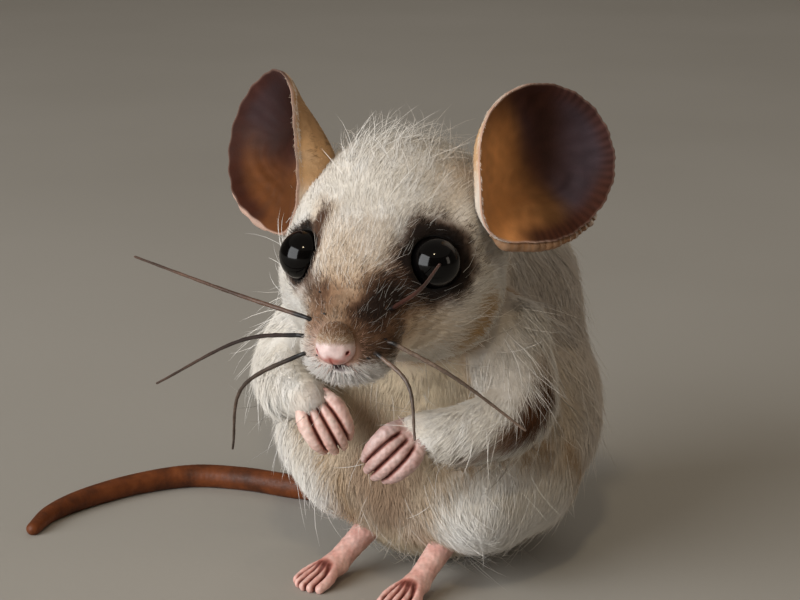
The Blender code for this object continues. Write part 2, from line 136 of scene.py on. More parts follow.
HANDS = {
    "left": ((5.4, -21.2, 20.2), (-0.545, -0.531, -0.656)),
    "right": ((-5.8, -21.1, 22.2), (0.543, -0.02, -0.837)),
}
HAND_BACK = (0.4465, -0.8397, 0.309)
PALM = [((1.9, y, -0.7), 1.45) for y in (-1.15, 0, 1.15)] + [((0, 0, -0.4), 1.5)]
FINGERS = 4
FINGER_PITCH = 1.22
FINGER_R = (0.65, 0.86, 0.8, 0.56)
FEET = {"left": ((3.9, -14.4), -12), "right": ((-6.0, -13.4), -22)}
FOOT_SHANK = ((0, 4.4, 5.4), (0, 1.2, 3.4), (0, -1.2, 2.0), (0, -2.8, 1.4))
FOOT_SHANK_R = (1.5, 1.3, 1.25, 1.3)
TOES = 5
TOE_SPREAD = (0.5, 0.86)
TOE_R = (0.66, 0.56)
TAIL_ROUTE = (
    (-4, 7, 4.5),
    (-13, 6.6, 2.3),
    (-21.5, 5.6, 1.35),
    (-29, 5.4, 1.3),
    (-35.5, 3.6, 1.25),
    (-40.2, -1.4, 1.18),
    (-43.2, -7.8, 1.08),
    (-44.4, -13.4, 0.9),
    (-43.8, -17.8, 0.66),
)
TAIL_R = (1.7, 1.6, 1.47, 1.42, 1.37, 1.3, 1.2, 1.02, 0.78)

# Details of the scene's own: stitches, mouth, nostrils and where the wool ends above the hands.
KNOT_DOTS = (
    (-0.3, -9.6, -8.4),
    (3.3, -8.9, -7.7),
    (-2.1, -9.5, -7.6),
    (-1.9, -7.8, -3.5),
    (4.6, -7.0, -6.0),
    (-3.3, -5.6, -2.1),
)
MOUTH_PLACE = (0.35, -9.1, -8.65)
MOUTH_HOLLOW = (0.75, 0.9, 0.25)
CLEFT = ((0.1, -9.7, -7.6), (0.5, -9.4, -8.3))
NOSE_SLIT = ((0.45, -10.05, -7.35), (1.4, -9.85, -6.75))
NOSE_CLEFT = ((0, -10.5, -7.5), (0, -9.6, -8.3))
NOSE_CUT_R = (0.2, 0.2, 0.07)
WRIST_FULLER = (0, 0, 0.15, 0.3, 0.0)
WRIST_REACH = {"left": 0.6, "right": 1.0}
CUFF_END = {"left": -0.1, "right": 0.8}
CUFF_RAGGED = (0.1, 0.9)
CUFF_WIDE = 3.1
CUFF_BELOW = -1.6

# The felted skin lies under the solids by the coat's depth. Its lumps: height, size and seed.
COAT_DEPTH = 0.62
SKIN_LUMPS = ((0.05, 2.6, 5), (0.02, 0.9, 6))
JOIN = 0.7
SOCKET = 0.12
SKIN_FLOOR = 0.15

# The boxes that the melted forms are found in, and how fine the grid is there.
SKIN_BOX = ((-21, -36, -0.3), (21, 18, 52.5))
SKIN_STEP = 0.36
HAND_BOX = ((-3.2, -3.6, -2.8), (7.0, 3.6, 2.6))
FOOT_BOX = ((-3.2, -7.4, -0.3), (3.2, 6.6, 7.4))
LIMB_STEP = 0.1
NOSE_BOX = ((-2.6, -11.4, -8.4), (2.6, -7.2, -3.8))
NOSE_STEP = 0.06
GRID_PART = 150000

# The coat: how many tufts, how many faces a piece may have, how long tufts are, and their shading.
DOWN_TUFTS = 130000
BODY_TUFTS = 66000
EAR_TUFTS = 9000
NOSE_TUFTS = 2400
WISPS = 2600
FACE_STRANDS = 900
PIECE_FACES = 190000
FORM_LENGTHS = (2.0, 3.3, 3.0, 3.0, 2.7, 2.7)
ATLAS = 6
PATCH = 0.0015
SOFTNESS = 0.13
# Painted shade at the tufts' roots and painted light at their tips.
ROOT_SHADE = 0.97
TIP_SHADE = 1.03
TUFT_FLOOR = 0.03

# Colours as linear red, green and blue.
CREAM = (0.765, 0.71, 0.63)
WHITE = (0.85, 0.82, 0.775)
BUTTER = (0.70, 0.55, 0.34)
OCHRE = (0.33, 0.19, 0.075)
BELLY = (0.31, 0.19, 0.12)
TAN = (0.25, 0.135, 0.075)
BROWN = (0.085, 0.042, 0.024)
WARM = (0.58, 0.42, 0.28)
GOLD = (0.62, 0.38, 0.19)
MAUVE = (0.34, 0.22, 0.18)
CHEEK = (0.80, 0.62, 0.43)
SHADED = (0.40, 0.35, 0.30)
UMBER = (0.085, 0.034, 0.014)
AMBER = (0.46, 0.27, 0.10)
SEAL = (0.012, 0.007, 0.005)
ROSE = (0.62, 0.36, 0.28)
CHIN = (0.90, 0.84, 0.80)
LIP = (0.58, 0.22, 0.17)
MOUTH = (0.08, 0.05, 0.055)
NOSE_PINK = (0.80, 0.63, 0.61)
NOSE_RED = (0.55, 0.20, 0.16)
SLIT_RED = (0.52, 0.10, 0.07)
SLIT_DARK = (0.24, 0.026, 0.018)
FUZZ_PINK = (0.80, 0.64, 0.62)
LEATHER_ORANGE = (0.36, 0.145, 0.045)
LEATHER_PLUM = (0.060, 0.037, 0.040)
# The dark red-brown of the painted shade inside the ears.
LEATHER_SHADE = (0.060, 0.017, 0.008)
LEATHER_DARK = (0.026, 0.009, 0.005)
LEATHER_RIM = (0.50, 0.34, 0.27)
CLAY = (0.66, 0.41, 0.36)
CLAY_DEEP = (0.12, 0.024, 0.015)
CLAY_RED = (0.42, 0.15, 0.11)
CLAY_PALE = (0.88, 0.71, 0.65)
# Each hand's painted light and shade: the right hand's clay lighter, the left's darker.
HAND_LIGHT_AND_SHADE = {"left": (0.78, 0.76, 0.78), "right": (1.2, 1.2, 1.18)}
FOOT_SHADE = (1.05, 0.92, 0.90)
STRAND_DARK = (0.025, 0.014, 0.012)
STRAND_BLACK = (0.008, 0.006, 0.006)
KNOT_BLACK = (0.010, 0.007, 0.008)
WHISKER_COLOURS = {
    "whisker_right_upper": (0.11, 0.060, 0.040),
    "whisker_right_middle": (0.06, 0.034, 0.024),
    "whisker_right_lower": (0.065, 0.042, 0.030),
    "whisker_left_upper": (0.055, 0.020, 0.014),
    "whisker_left_middle": (0.13, 0.088, 0.064),
    "whisker_left_lower": (0.12, 0.078, 0.056),
}

# How much the broad and the fine waves of colour move a mark's edge.
PATCHY = np.array((1, 0))
FINE = np.array((0, 1))
RAGGED = 0.35 * PATCHY + 0.25 * FINE

# Where marks lie: an egg's middle and radii, or a band's two ends.
BELLY_EGG = ("egg", (-1, -16, 13), (7, 8, 9))
BROW = ("egg", (-0.4, -2.0, -0.6), (4.2, 5.5, 4.0))
BRIDGE = ("egg", (-0.3, -7.0, -3.4), (4.2, 3.9, 2.7))
LOW_BRIDGE = ("egg", (0.5, -7.6, -3.9), (3.4, 3.0, 2.3))
NOSE_PAD = ("egg", (0, -9.4, -6.9), (1, 1, 1))
LEFT_CHEEK = ("egg", (6.5, -1.5, -6.0), (4.5, 6.0, 4.5))
BY_MUZZLE = ("egg", (5.6, -3.6, -4.8), (3.2, 3.8, 3.0))
SHADE_SIDE = ("egg", (3.3, -6.8, -5.4), (2.5, 3.2, 2.7))
MOUTH_RIM = ("egg", MOUTH_PLACE, (0.95, 1.2, 0.42))
LEFT_BAND = ("band", (5.6, -2.0, -1.0), (3.0, -6.6, -3.4))
RIGHT_WIDE_BAND = ("band", (-6.4, -2.6, -2.4), (-3.0, -6.6, -3.6))
RIGHT_BAND = ("band", (-5.6, -2.8, -1.6), (-3.2, -6.0, -2.6))
RIGHT_BROW = ("band", (-4.6, -1.9, 1.6), (-4.7, -0.5, 4.3))

# The marks in the order in which they are laid: place, colour, the distances where each starts
# and is full, strength, ragged edge, and the heights where it starts and is full if it has any.
# Painted shade: brown in the elbow's crease against the flank, partly the felt's own brown there, a
# grey-brown upper arm, brown under the forearm and ochre in the crease between cheek and shoulder.
BODY_SHADING = (
    (("band", (16.8, -11.0, 28.5), (17.2, -13.2, 24.6)), TAN, (2.8, 0.84), 0.6, 0.5 * RAGGED),
    (("band", (11.5, -11.5, 29.5), (13.4, -14.0, 24.0)), SHADED, (5.0, 1.5), 0.6, 0.5 * RAGGED),
    (("band", (17.2, -13.2, 24.6), (16.0, -17.5, 20.4)), UMBER, (2.7, 0.81), 1, 0.5 * RAGGED),
    (("band", (16.0, -17.5, 20.4), (11.5, -20.5, 17.6)), TAN, (1.9, 0.57), 0.6, 0.5 * RAGGED),
    (("band", (10.0, -19.2, 29.0), (12.6, -17.0, 33.5)), AMBER, (2.3, 0.69), 0.9, 0.5 * RAGGED),
)
FACE_MARKS = (
    (BROW, WARM, (1.6, 0.3), 0.75, 0.2 * RAGGED),
    (BRIDGE, WARM, (1.7, 0.9), 0.8, 0.2 * RAGGED),
    (BRIDGE, TAN, (1.3, 0.6), 0.95, 0.2 * RAGGED),
    (LOW_BRIDGE, BROWN, (1.35, 0.5), 0.85, 0.3 * FINE),
    (NOSE_PAD, MAUVE, (5.4, 2.4), 0.75, 0.3 * RAGGED, (-3.8, -5.2)),
    # Warmer left cheek: golden wool with painted warm bounce light from the arm.
    (LEFT_CHEEK, CHEEK, (1.2, 0.4), 0.6, 0.2 * RAGGED),
    # Beside the muzzle: the mask's warm tone fading out, with painted shade.
    (BY_MUZZLE, WARM, (1.3, 0.3), 0.55, 0.25 * RAGGED),
    # The muzzle's side away from the light: the mask's brown, deepened as painted shade.
    (SHADE_SIDE, WARM, (2.6, 1.2), 0.6, 0.25 * RAGGED),
    (SHADE_SIDE, TAN, (1.9, 0.8), 0.75, 0.25 * RAGGED),
    (SHADE_SIDE, BROWN, (1.5, 0.5), 1, 0.25 * RAGGED),
    (SHADE_SIDE, SEAL, (1.2, 0.3), 0.5, 0.2 * RAGGED),
    (NOSE_PAD, ROSE, (2.7, 1.9), 0.6, 0.1 * RAGGED, (-5.4, -6.6)),
)
MASK_MARKS = (
    (("band", *CLEFT), LIP, (1.1, 0.3), 0.9, 0.15 * FINE),
    (MOUTH_RIM, MOUTH, (1.3, 0.8), 1, 0 * FINE),
    (LEFT_BAND, TAN, (4.0, 2.4), 0.6, 0.8 * RAGGED),
    (LEFT_BAND, BROWN, (3.0, 1.6), 1, 0.8 * RAGGED),
    (LEFT_BAND, SEAL, (2.0, 0.9), 0.9, 0.6 * RAGGED),
    (RIGHT_WIDE_BAND, TAN, (3.0, 1.0), 0.6, RAGGED),
    (RIGHT_BAND, BROWN, (1.9, 0.5), 0.8, RAGGED),
    (RIGHT_BROW, WARM, (2.6, 1.2), 0.5, 0.8 * RAGGED),
    (RIGHT_BROW, BROWN, (1.4, 0.5), 1, 0.5 * RAGGED),
)
EYE_RIM = {"left": 1.0, "right": 0.45}

# Where the ear's inside is warm brown: weights across and up, and the start.
EAR_WARM = {"left": (1.0, 0.5, -0.17), "right": (0.3, 1.0, 0.02)}
# Each ear's painted light and shade: the right ear's leather darker and redder, the left's a little bluer.
EAR_LIGHT_AND_SHADE = {"left": (0.88, 0.98, 1.1), "right": (0.64, 0.55, 0.52)}
# How strong the orange is and how it fades across the ear; the right ear's is turned down as painted shade.
EAR_FADE = {"left": (2.0, 1.6), "right": (0.50, 0.0)}
EAR_SOFT = {"left": 0.2, "right": 0.34}
EAR_RIBS = {"left": 0.6, "right": 0.0}
BEAD_STEP = 0.3
BEAD_DEPTH = {"left": 0.36, "right": 0.03}
HEM_WIDE = {"left": (0.5, 0.4), "right": (0.34, 0.34)}
HEM_ANGLES = {"left": (224, 328), "right": (238, 350)}
EAR_POLE = 1e-4
DOME = (80, 60, 40, 20)

# The camera and the lights stand at degrees round, degrees above and metres from the camera's aim.
CAMERA_STAND = (25, 15, 0.215)
CAMERA_AIM = (-0.003, -0.006, 0.0295)
CAMERA_LENS = 90
LIGHT_AIM = (0, -0.008, 0.028)
LIGHTS = {
    "window": ((-29, 12, 0.6), (0.5, 0.6), 5.8, (0.98, 0.99, 1.0)),
    "fill": ((88, 15, 0.8), (0.18, 0.34), 0.42, (1.0, 0.88, 0.74)),
    "lamp": ((20, 50, 0.5), (0.035, 0.035), 0.3, (1.0, 0.82, 0.55)),
    "rim": ((205, 50, 0.8), (0.5, 0.5), 0.5, (1.0, 0.96, 0.9)),
}
WORLD_COLOUR = (0.88, 0.78, 0.67, 1)
WORLD_STRENGTH = 0.26

# The floor's rings, in metres: radius and height. Its edge rises all round.
FLOOR_RINGS = ((1.2, 0.0), (1.344, 0.03), (1.44, 0.12), (1.464, 1.0))
FLOOR_TURNS = 96


def array(values):
    return np.array(values, float)


def unit(vectors):
    return vectors / np.maximum(np.linalg.norm(vectors, axis=-1, keepdims=True), 1e-9)


def smooth(low, high, values):
    """0 below low, 1 above high, with a soft step between."""
    t = np.clip((values - low) / (high - low), 0, 1)
    return t * t * (3 - 2 * t)


def layered(base, *layers):
    """A colour for each point, or one for all, with (colour, share) pairs laid over it in turn."""
    tint = array(base) + np.zeros((len(layers[0][1]), 1))
    for colour, share in layers:
        tint = tint + (array(colour) - tint) * share[:, None]
    return tint


def waves(points, size, seed, count=14):
    """Smooth noise of about -1 to 1, with swells about as wide as size."""
    chance = np.random.default_rng(seed)
    ways = unit(chance.normal(size=(count, 3))) * chance.uniform(0.6, 1.5, (count, 1))
    phases = chance.uniform(0, 2 * math.pi, count)
    return np.sin(points @ ways.T * (math.pi / size) + phases).sum(axis=1) / math.sqrt(count)


def turned(degrees, axis):
    """A rotation matrix about one of the axes 0 to 2."""
    c, s = math.cos(math.radians(degrees)), math.sin(math.radians(degrees))
    made = np.eye(3)
    a, b = (axis + 1) % 3, (axis + 2) % 3
    made[a, a], made[b, b] = c, c
    made[a, b], made[b, a] = -s, s
    return made


def along_surface(ways, normals):
    """Unit ways with what they have of the normals taken out."""
    return unit(ways - normals * (ways * normals).sum(axis=1)[:, None])


def spin(way, normals, angle):
    """Ways in the surface turned about its normal."""
    side = np.cross(normals, way)
    return way * np.cos(angle)[:, None] + side * np.sin(angle)[:, None]


HEAD_FRAME = turned(HEAD_TURN, 2) @ turned(HEAD_ROLL, 1)


def to_head(points):
    """Points of the row frame in the head's frame."""
    return (points - array(HEAD_PLACE)) @ HEAD_FRAME


def from_head(points):
    return points @ HEAD_FRAME.T + array(HEAD_PLACE)


def mirrored(point, side):
    return array(point) * (SIDES[side], 1, 1)


def hand_axes(side):
    """Along the fingers, across the hand and out of its back, as the columns of a matrix."""
    along = unit(array(HANDS[side][1]))
    back = array(HAND_BACK)
    back = unit(back - along * (back @ along))
    return np.column_stack([along, np.cross(back, along), back])


def to_hand(points, side):
    """Points of the row frame in a hand's frame."""
    return (points - array(HANDS[side][0])) @ hand_axes(side)


def smooth_route(points, count):
    """Points along a smooth curve through the given ones, which may carry a radius."""
    known = array(points)
    whole = np.vstack([2 * known[0] - known[1], known, 2 * known[-1] - known[-2]])
    made = []
    for along in np.linspace(0, len(known) - 1 - 1e-9, count):
        i = int(along)
        t = along - i
        a, b, c, d = whole[i : i + 4]
        bend = (2 * a - 5 * b + 4 * c - d) * t**2 + (3 * b - a - 3 * c + d) * t**3
        made.append(0.5 * (2 * b + (c - a) * t + bend))
    return array(made)


def soft_min(distances, blend):
    """The least of several distances at each point, with the corners between them rounded."""
    low = distances.min(axis=0)
    return low - blend * np.log(np.exp((low - distances) / blend).sum(axis=0))


def carve(whole, hollow, blend):
    """Distance to a form with a hollow cut out of it; both are negative inside."""
    return -soft_min(np.stack([-whole, hollow]), blend)


def balls_field(points, balls, blend):
    """Distance to melted balls, negative inside."""
    away = [np.linalg.norm(points - array(centre), axis=1) - radius for centre, radius in balls]
    return soft_min(np.stack(away), blend)


def egg_distance(points, place, radii):
    """Distance to a place, in shares of the radii of an egg round it."""
    return np.linalg.norm((points - array(place)) / array(radii), axis=1)


def segment_distance(points, start, end):
    start, end = array(start), array(end)
    run = end - start
    t = np.clip(((points - start) @ run) / (run @ run), 0, 1)
    return np.linalg.norm(points - start - t[:, None] * run, axis=1)


def eye_distance(points, side):
    return np.linalg.norm(to_head(points) - array(EYE_PLACES[side]), axis=1)


def limb_field(points, route):
    """Distance to a limb of round sections along a route of x, y, z, radius, and its way there."""
    best = np.full(len(points), 1e9)
    way = np.zeros((len(points), 3))
    for a, b in zip(route[:-1], route[1:]):
        run = b[:3] - a[:3]
        t = np.clip(((points - a[:3]) @ run) / (run @ run), 0, 1)
        radius = a[3] + t * (b[3] - a[3])
        away = np.linalg.norm(points - a[:3] - t[:, None] * run, axis=1) - radius
        closer = away < best
        best = np.where(closer, away, best)
        way[closer] = unit(run)
    return best, way


def arm_route(side):
    """The arm's route and radii; the wool is thin at the wrist, so the felt is fuller there."""
    wrist, way = HANDS[side]
    points = (*ARMS[side], array(wrist) + unit(array(way)) * WRIST_REACH[side])
    radii = array((*ARM_R[side], ARM_R[side][-1] * 0.95)) + array(WRIST_FULLER)
    return smooth_route(np.column_stack([points, radii]), 16)


ARM_ROUTES = {side: arm_route(side) for side in SIDES}


def form_fields(points):
    """Distance to each felted form: head, torso, both thighs, both arms; and the arms' ways."""
    head = balls_field(to_head(points), HEAD_BALLS + BROW_BALLS, HEAD_BLEND)
    fields = [head, balls_field(points, TORSO_BALLS, TORSO_BLEND)]
    for side in SIDES:
        balls = [(mirrored(centre, side), radius) for centre, radius in THIGH_BALLS[side]]
        fields.append(balls_field(points, balls, THIGH_BLEND))
    arms, ways = zip(*(limb_field(points, ARM_ROUTES[side]) for side in SIDES))
    return np.stack([*fields, *arms]), ways


def form_shares(fields, blend):
    """How far each point belongs to each form, in shares that add up to 1."""
    near = np.exp((fields.min(axis=0) - fields) / blend)
    return near / near.sum(axis=0)


def form_of(points):
    """Which felted form each point is on."""
    return form_fields(points)[0].argmin(axis=0)


def body_field(points):
    """Distance to the felted skin: the forms melted together, less the coat's depth."""
    whole = soft_min(form_fields(points)[0], JOIN) + COAT_DEPTH
    whole += sum(high * waves(points, size, seed) for high, size, seed in SKIN_LUMPS)
    for side in SIDES:
        whole = carve(whole, eye_distance(points, side) - EYE_R - SOCKET, 0.12)
        own = to_hand(points, side)
        cuff = np.maximum(CUFF_END[side] - own[:, 0], np.hypot(own[:, 1], own[:, 2]) - CUFF_WIDE)
        whole = carve(whole, np.maximum(cuff, CUFF_BELOW - own[:, 2]), 0.1)
    mouth = egg_distance(to_head(points), MOUTH_PLACE, MOUTH_HOLLOW) - 1
    whole = carve(whole, mouth * 0.35, 0.08)
    return np.maximum(whole, SKIN_FLOOR - points[:, 2])


def slope(field, points, reach=0.04):
    """The field's gradient at each point."""
    made = np.zeros_like(points)
    for axis in range(3):
        step = np.zeros(3)
        step[axis] = reach
        made[:, axis] = (field(points + step) - field(points - step)) / (2 * reach)
    return made


def net_cells(values):
    """The grid cells that the surface crosses, and the middle of its crossings in each."""
    inside = values < 0
    ends = np.array(values.shape) - 1
    corners = [(i, j, k) for i in (0, 1) for j in (0, 1) for k in (0, 1)]
    blocks = [tuple(slice(c[i], c[i] + ends[i]) for i in range(3)) for c in corners]
    full = sum(inside[block].astype(np.int8) for block in blocks)
    cells = np.argwhere((full > 0) & (full < 8))
    total = np.zeros((len(cells), 3))
    crossings = np.zeros(len(cells))
    for a in corners:
        for axis in range(3):
            if a[axis]:
                continue
            b = list(a)
            b[axis] = 1
            value_a = values[tuple((cells + a).T)]
            value_b = values[tuple((cells + b).T)]
            crossed = (value_a < 0) != (value_b < 0)
            t = np.where(crossed, value_a / np.where(crossed, value_a - value_b, 1), 0)
            place = array(a) + t[:, None] * (array(b) - array(a))
            total += place * crossed[:, None]
            crossings += crossed
    return cells, total / crossings[:, None]


def net_quads(inside, cells):
    """Quads between the crossed cells, round each grid edge whose ends differ."""
    ends = np.array(inside.shape) - 1
    number = np.full(ends, -1)
    number[tuple(cells.T)] = np.arange(len(cells))
    quads = []
    for axis in range(3):
        u, v = (axis + 1) % 3, (axis + 2) % 3
        near = [slice(None)] * 3
        far = [slice(None)] * 3
        near[axis], far[axis] = slice(0, -1), slice(1, None)
        changed = np.argwhere(inside[tuple(near)] != inside[tuple(far)])
        changed = changed[(changed[:, u] > 0) & (changed[:, v] > 0)]
        changed = changed[(changed[:, u] < ends[u]) & (changed[:, v] < ends[v])]
        ring = []
        for du, dv in ((-1, -1), (0, -1), (0, 0), (-1, 0)):
            cell = changed.copy()
            cell[:, u] += du
            cell[:, v] += dv
            ring.append(number[tuple(cell.T)])
        ring = np.stack(ring, axis=1)
        inward = ~inside[tuple(changed.T)]
        ring[inward] = ring[inward][:, ::-1]
        quads.append(ring)
    return np.vstack(quads)


def surface_net(field, low, high, step):
    """Points and quads on the zero surface of a distance field, by one point a grid cell."""
    low, high = array(low), array(high)
    counts = np.ceil((high - low) / step).astype(int) + 1
    axes = [low[i] + step * np.arange(counts[i]) for i in range(3)]
    grid = np.stack(np.meshgrid(*axes, indexing="ij"), axis=-1).reshape(-1, 3)
    parts = np.array_split(grid, len(grid) // GRID_PART + 1)
    values = np.concatenate([field(part) for part in parts]).reshape(counts)
    cells, middles = net_cells(values)
    points = low + (cells + middles) * step
    for _ in range(2):
        gradient = slope(field, points, step * 0.2)
        steepness = np.maximum((gradient**2).sum(axis=1), 0.2)
        points -= gradient * (field(points) / steepness)[:, None]
    return points, net_quads(values < 0, cells)


def ring_faces(rings, turns):
    """Triangles between neighbouring rings of points."""
    i = np.arange(rings - 1)[:, None] * turns
    j = np.arange(turns)[None, :]
    k = (j + 1) % turns
    quads = np.stack([i + j, i + turns + j, i + turns + k, i + k], axis=-1).reshape(-1, 4)
    return np.vstack([quads[:, [0, 1, 2]], quads[:, [0, 2, 3]]])


def cap_faces(pole, first, turns):
    """Triangles from a pole to the ring of points that starts at first."""
    ring = first + np.arange(turns)
    return np.stack([np.full(turns, pole), ring, np.roll(ring, -1)], axis=1)


def ball_faces(rings, turns):
    """Triangles of a closed form: its rings, and the two poles that come after them."""
    pole, last = rings * turns, (rings - 1) * turns
    caps = [cap_faces(pole, 0, turns), cap_faces(pole + 1, last, turns)[:, ::-1]]
    return np.vstack([ring_faces(rings, turns), *caps])


def ball_angles(rings, turns):
    """How far down and how far round each point of a ball is, ring by ring, with the poles last."""
    down = np.linspace(0, math.pi, rings + 2)[1:-1]
    p, a = np.meshgrid(down, np.arange(turns) * 2 * math.pi / turns, indexing="ij")
    return np.append(p, (0, math.pi)), np.append(a, (0, 0))


def ball_points(p, a):
    return np.stack([np.sin(p) * np.cos(a), np.sin(p) * np.sin(a), np.cos(p)], axis=-1)


def facing_out(points, tris):
    """The triangles of a closed form, turned over if they face into it."""
    a, b, c = (points[tris[:, i]] - points.mean(axis=0) for i in range(3))
    volume = (a * np.cross(b, c)).sum()
    return tris if volume > 0 else tris[:, ::-1]


def make_mesh(name, points, faces, tint=None, uvs=None):
    """A mesh object from points in millimetres and faces of one size, with a colour a point."""
    mesh = bpy.data.meshes.new(name)
    faces = np.asarray(faces, np.int32)
    count, sides = faces.shape
    mesh.vertices.add(len(points))
    mesh.vertices.foreach_set("co", (np.asarray(points) * MM).astype(np.float32).ravel())
    mesh.loops.add(count * sides)
    mesh.loops.foreach_set("vertex_index", faces.ravel())
    mesh.polygons.add(count)
    mesh.polygons.foreach_set("loop_start", np.arange(0, count * sides, sides, dtype=np.int32))
    mesh.polygons.foreach_set("use_smooth", np.full(count, True))
    mesh.update(calc_edges=True)
    mesh.validate()
    if tint is not None:
        layer = mesh.color_attributes.new("tint", "FLOAT_COLOR", "POINT")
        rgba = np.ones((len(points), 4), np.float32)
        rgba[:, :3] = np.clip(tint, 0, 1)
        layer.data.foreach_set("color", rgba.ravel())
    if uvs is not None:
        layer = mesh.uv_layers.new(name="OFBake")
        layer.data.foreach_set("uv", uvs.astype(np.float32).ravel())
    made = bpy.data.objects.new(name, mesh)
    bpy.context.scene.collection.objects.link(made)
    return made


def finish_piece(obj, material, slot, *nodes):
    """Gives a piece its material and its place in the frame."""
    obj.data.materials.append(material)
    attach(obj, "root")
    if nodes:
        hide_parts(*nodes)


def lay_marks(colour, marks_table, points, edges, share):
    """Lays a table's marks over the colours of points, by a share for each point."""
    measures = {"egg": egg_distance, "band": segment_distance}
    for (kind, a, b), shade, (start, full), strength, ragged, *heights in marks_table:
        away = measures[kind](points, a, b) + ragged @ edges
        strong = smooth(start, full, away) * share * strength
        for top, under in heights:
            strong = strong * smooth(top, under, points[:, 2])
        colour = layered(colour, (shade, strong))
    return colour


def marks(points, normals):
    """The felt's colour: cream with siamese markings, with painted shade and painted light laid over them.
    """
    fields = form_fields(points)[0]
    near = form_shares(fields, 0.8)
    head, torso = near[:2]
    own = to_head(points)
    across, deep, height = points.T
    patchy, fine = waves(points, 1.6, 21), waves(points, 0.5, 22)
    edges = np.stack([patchy, fine])
    ragged = RAGGED @ edges
    belly = egg_distance(points, *BELLY_EGG[1:])
    order = np.sort(fields, axis=0)
    crease = np.exp(-(((order[1] - order[0]) / 1.1) ** 2)) * smooth(2.2, 0.3, order[1])
    colour = layered(
        CREAM,
        (WHITE, smooth(-0.2, 1.0, patchy) * 0.7),
        (BUTTER, smooth(0.1, 0.7, -normals[:, 1]) * torso * smooth(31, 24, height) * 0.75),
        # Yellow-brown belly wool, darkened as painted shade under the paws and between the thighs.
        (BELLY, smooth(1.3, 0.3, belly + 0.1 * patchy) * torso * 0.85),
        # Painted shade on the flank away from the light, over warm wool.
        (BELLY, smooth(5, 13, across) * smooth(-14, -6, deep) * torso * 0.36),
        (BUTTER, torso * smooth(9, 2, height) * 0.5),
        # Painted light: the thighs whitened low down, where light falls on them.
        (WHITE, (near[2] + near[3]) * smooth(14, 9, height) * 0.8),
        # Painted shade: ochre in the creases between the forms.
        (OCHRE, crease * np.clip(0.8 + 0.35 * patchy, 0, 1) * 0.85),
    )
    colour = lay_marks(colour, BODY_SHADING, points, edges, 1)
    colour = lay_marks(colour, FACE_MARKS, own, edges, head)
    chin = smooth(-7.8, -8.8, own[:, 2]) * smooth(-5.0, -7.4, own[:, 1]) * head
    colour = layered(colour, (CHIN, chin * 0.9))
    colour = lay_marks(colour, MASK_MARKS, own, edges, head)
    for side, wide in EYE_RIM.items():
        rim = (eye_distance(points, side) + 0.55 * ragged - EYE_R) / wide
        wrist = np.linalg.norm(points - array(HANDS[side][0]), axis=1)
        ear = egg_distance(own, mirrored(EAR_ROOT, side), (1, 1.3, 1))
        colour = layered(
            colour,
            (BROWN, smooth(3.1, 1.4, rim) * head * 0.95),
            (SEAL, smooth(1.9, 1.0, rim) * head),
            (ROSE, smooth(2.6, 1.6, wrist + 0.3 * ragged) * 0.25),
            (TAN, smooth(5.4, 3.2, ear + ragged) * head * 0.35),
        )
    return colour


def lie_of_wool(points, normals):
    """The way the wool lies at each point of the surface."""
    fields, arm_ways = form_fields(points)
    near = form_shares(fields, 0.9)[:, :, None]
    own = to_head(points)
    from_nose = unit(own - array((0, -10.5, -7.0)))
    back = smooth(2, 12, own[:, 1])[:, None]
    cheek = (smooth(0, -6, own[:, 2]) * smooth(0, 6, own[:, 1]))[:, None]
    droop = array((0, 0.2, -1.0)) * (0.5 * cheek + 0.5 * back * cheek)
    on_torso = np.tile(array((0, 0.15, -1)), (len(points), 1))
    on_torso[:, 0] += 0.25 * np.tanh(points[:, 0] / 6)
    way = unit(from_nose + droop) @ HEAD_FRAME.T * near[0] + on_torso * near[1]
    for i, (side, x) in enumerate(SIDES.items()):
        way += array((0.35 * x, -0.7, -0.5)) * near[2 + i]
        way += (arm_ways[i] + array((0.25 * x, 0, -0.45))) * near[4 + i]
    swirl = np.radians(13 * waves(points, 4.0, 31) + 5 * waves(points, 1.3, 32))
    return spin(along_surface(way, normals), normals, swirl)


def atlas_places(points, normals):
    """Places on an unwrap of the skin's shape: a cell for each form and for each way it faces."""
    form = form_of(points)
    axis = np.abs(normals).argmax(axis=1)
    rows = np.arange(len(points))
    facing = axis * 2 + (normals[rows, axis] > 0)
    local = np.zeros_like(points)
    span = np.ones(len(points))
    for i in np.unique(form):
        on_form = form == i
        local[on_form] = points[on_form] - points[on_form].mean(axis=0)
        span[on_form] = np.abs(local[on_form]).max() * 2.1
    u = local[rows, (axis + 1) % 3]
    v = local[rows, (axis + 2) % 3]
    return np.stack([form + 0.5 + u / span, facing + 0.5 + v / span], axis=1) / ATLAS


def scatter(points, faces, normals, density, count, chance):
    """Random roots over a mesh: places and normals, as dense as asked for at each."""
    tris = np.vstack([faces[:, [0, 1, 2]], faces[:, [0, 2, 3]]])
    a, b, c = (points[tris[:, i]] for i in range(3))
    area = np.linalg.norm(np.cross(b - a, c - a), axis=1) / 2
    facing = unit(normals[tris].mean(axis=1))
    running = np.cumsum(area * density((a + b + c) / 3, facing))
    picks = (np.arange(count) + chance.uniform(0, 1, count)) / count * running[-1]
    chosen = tris[np.minimum(np.searchsorted(running, picks), len(tris) - 1)]
    s = np.sqrt(chance.uniform(0, 1, count))[:, None]
    t = chance.uniform(0, 1, count)[:, None]
    share = (1 - s, s * (1 - t), s * t)
    roots = sum(points[chosen[:, i]] * share[i] for i in range(3))
    return roots, unit(sum(normals[chosen[:, i]] * share[i] for i in range(3)))


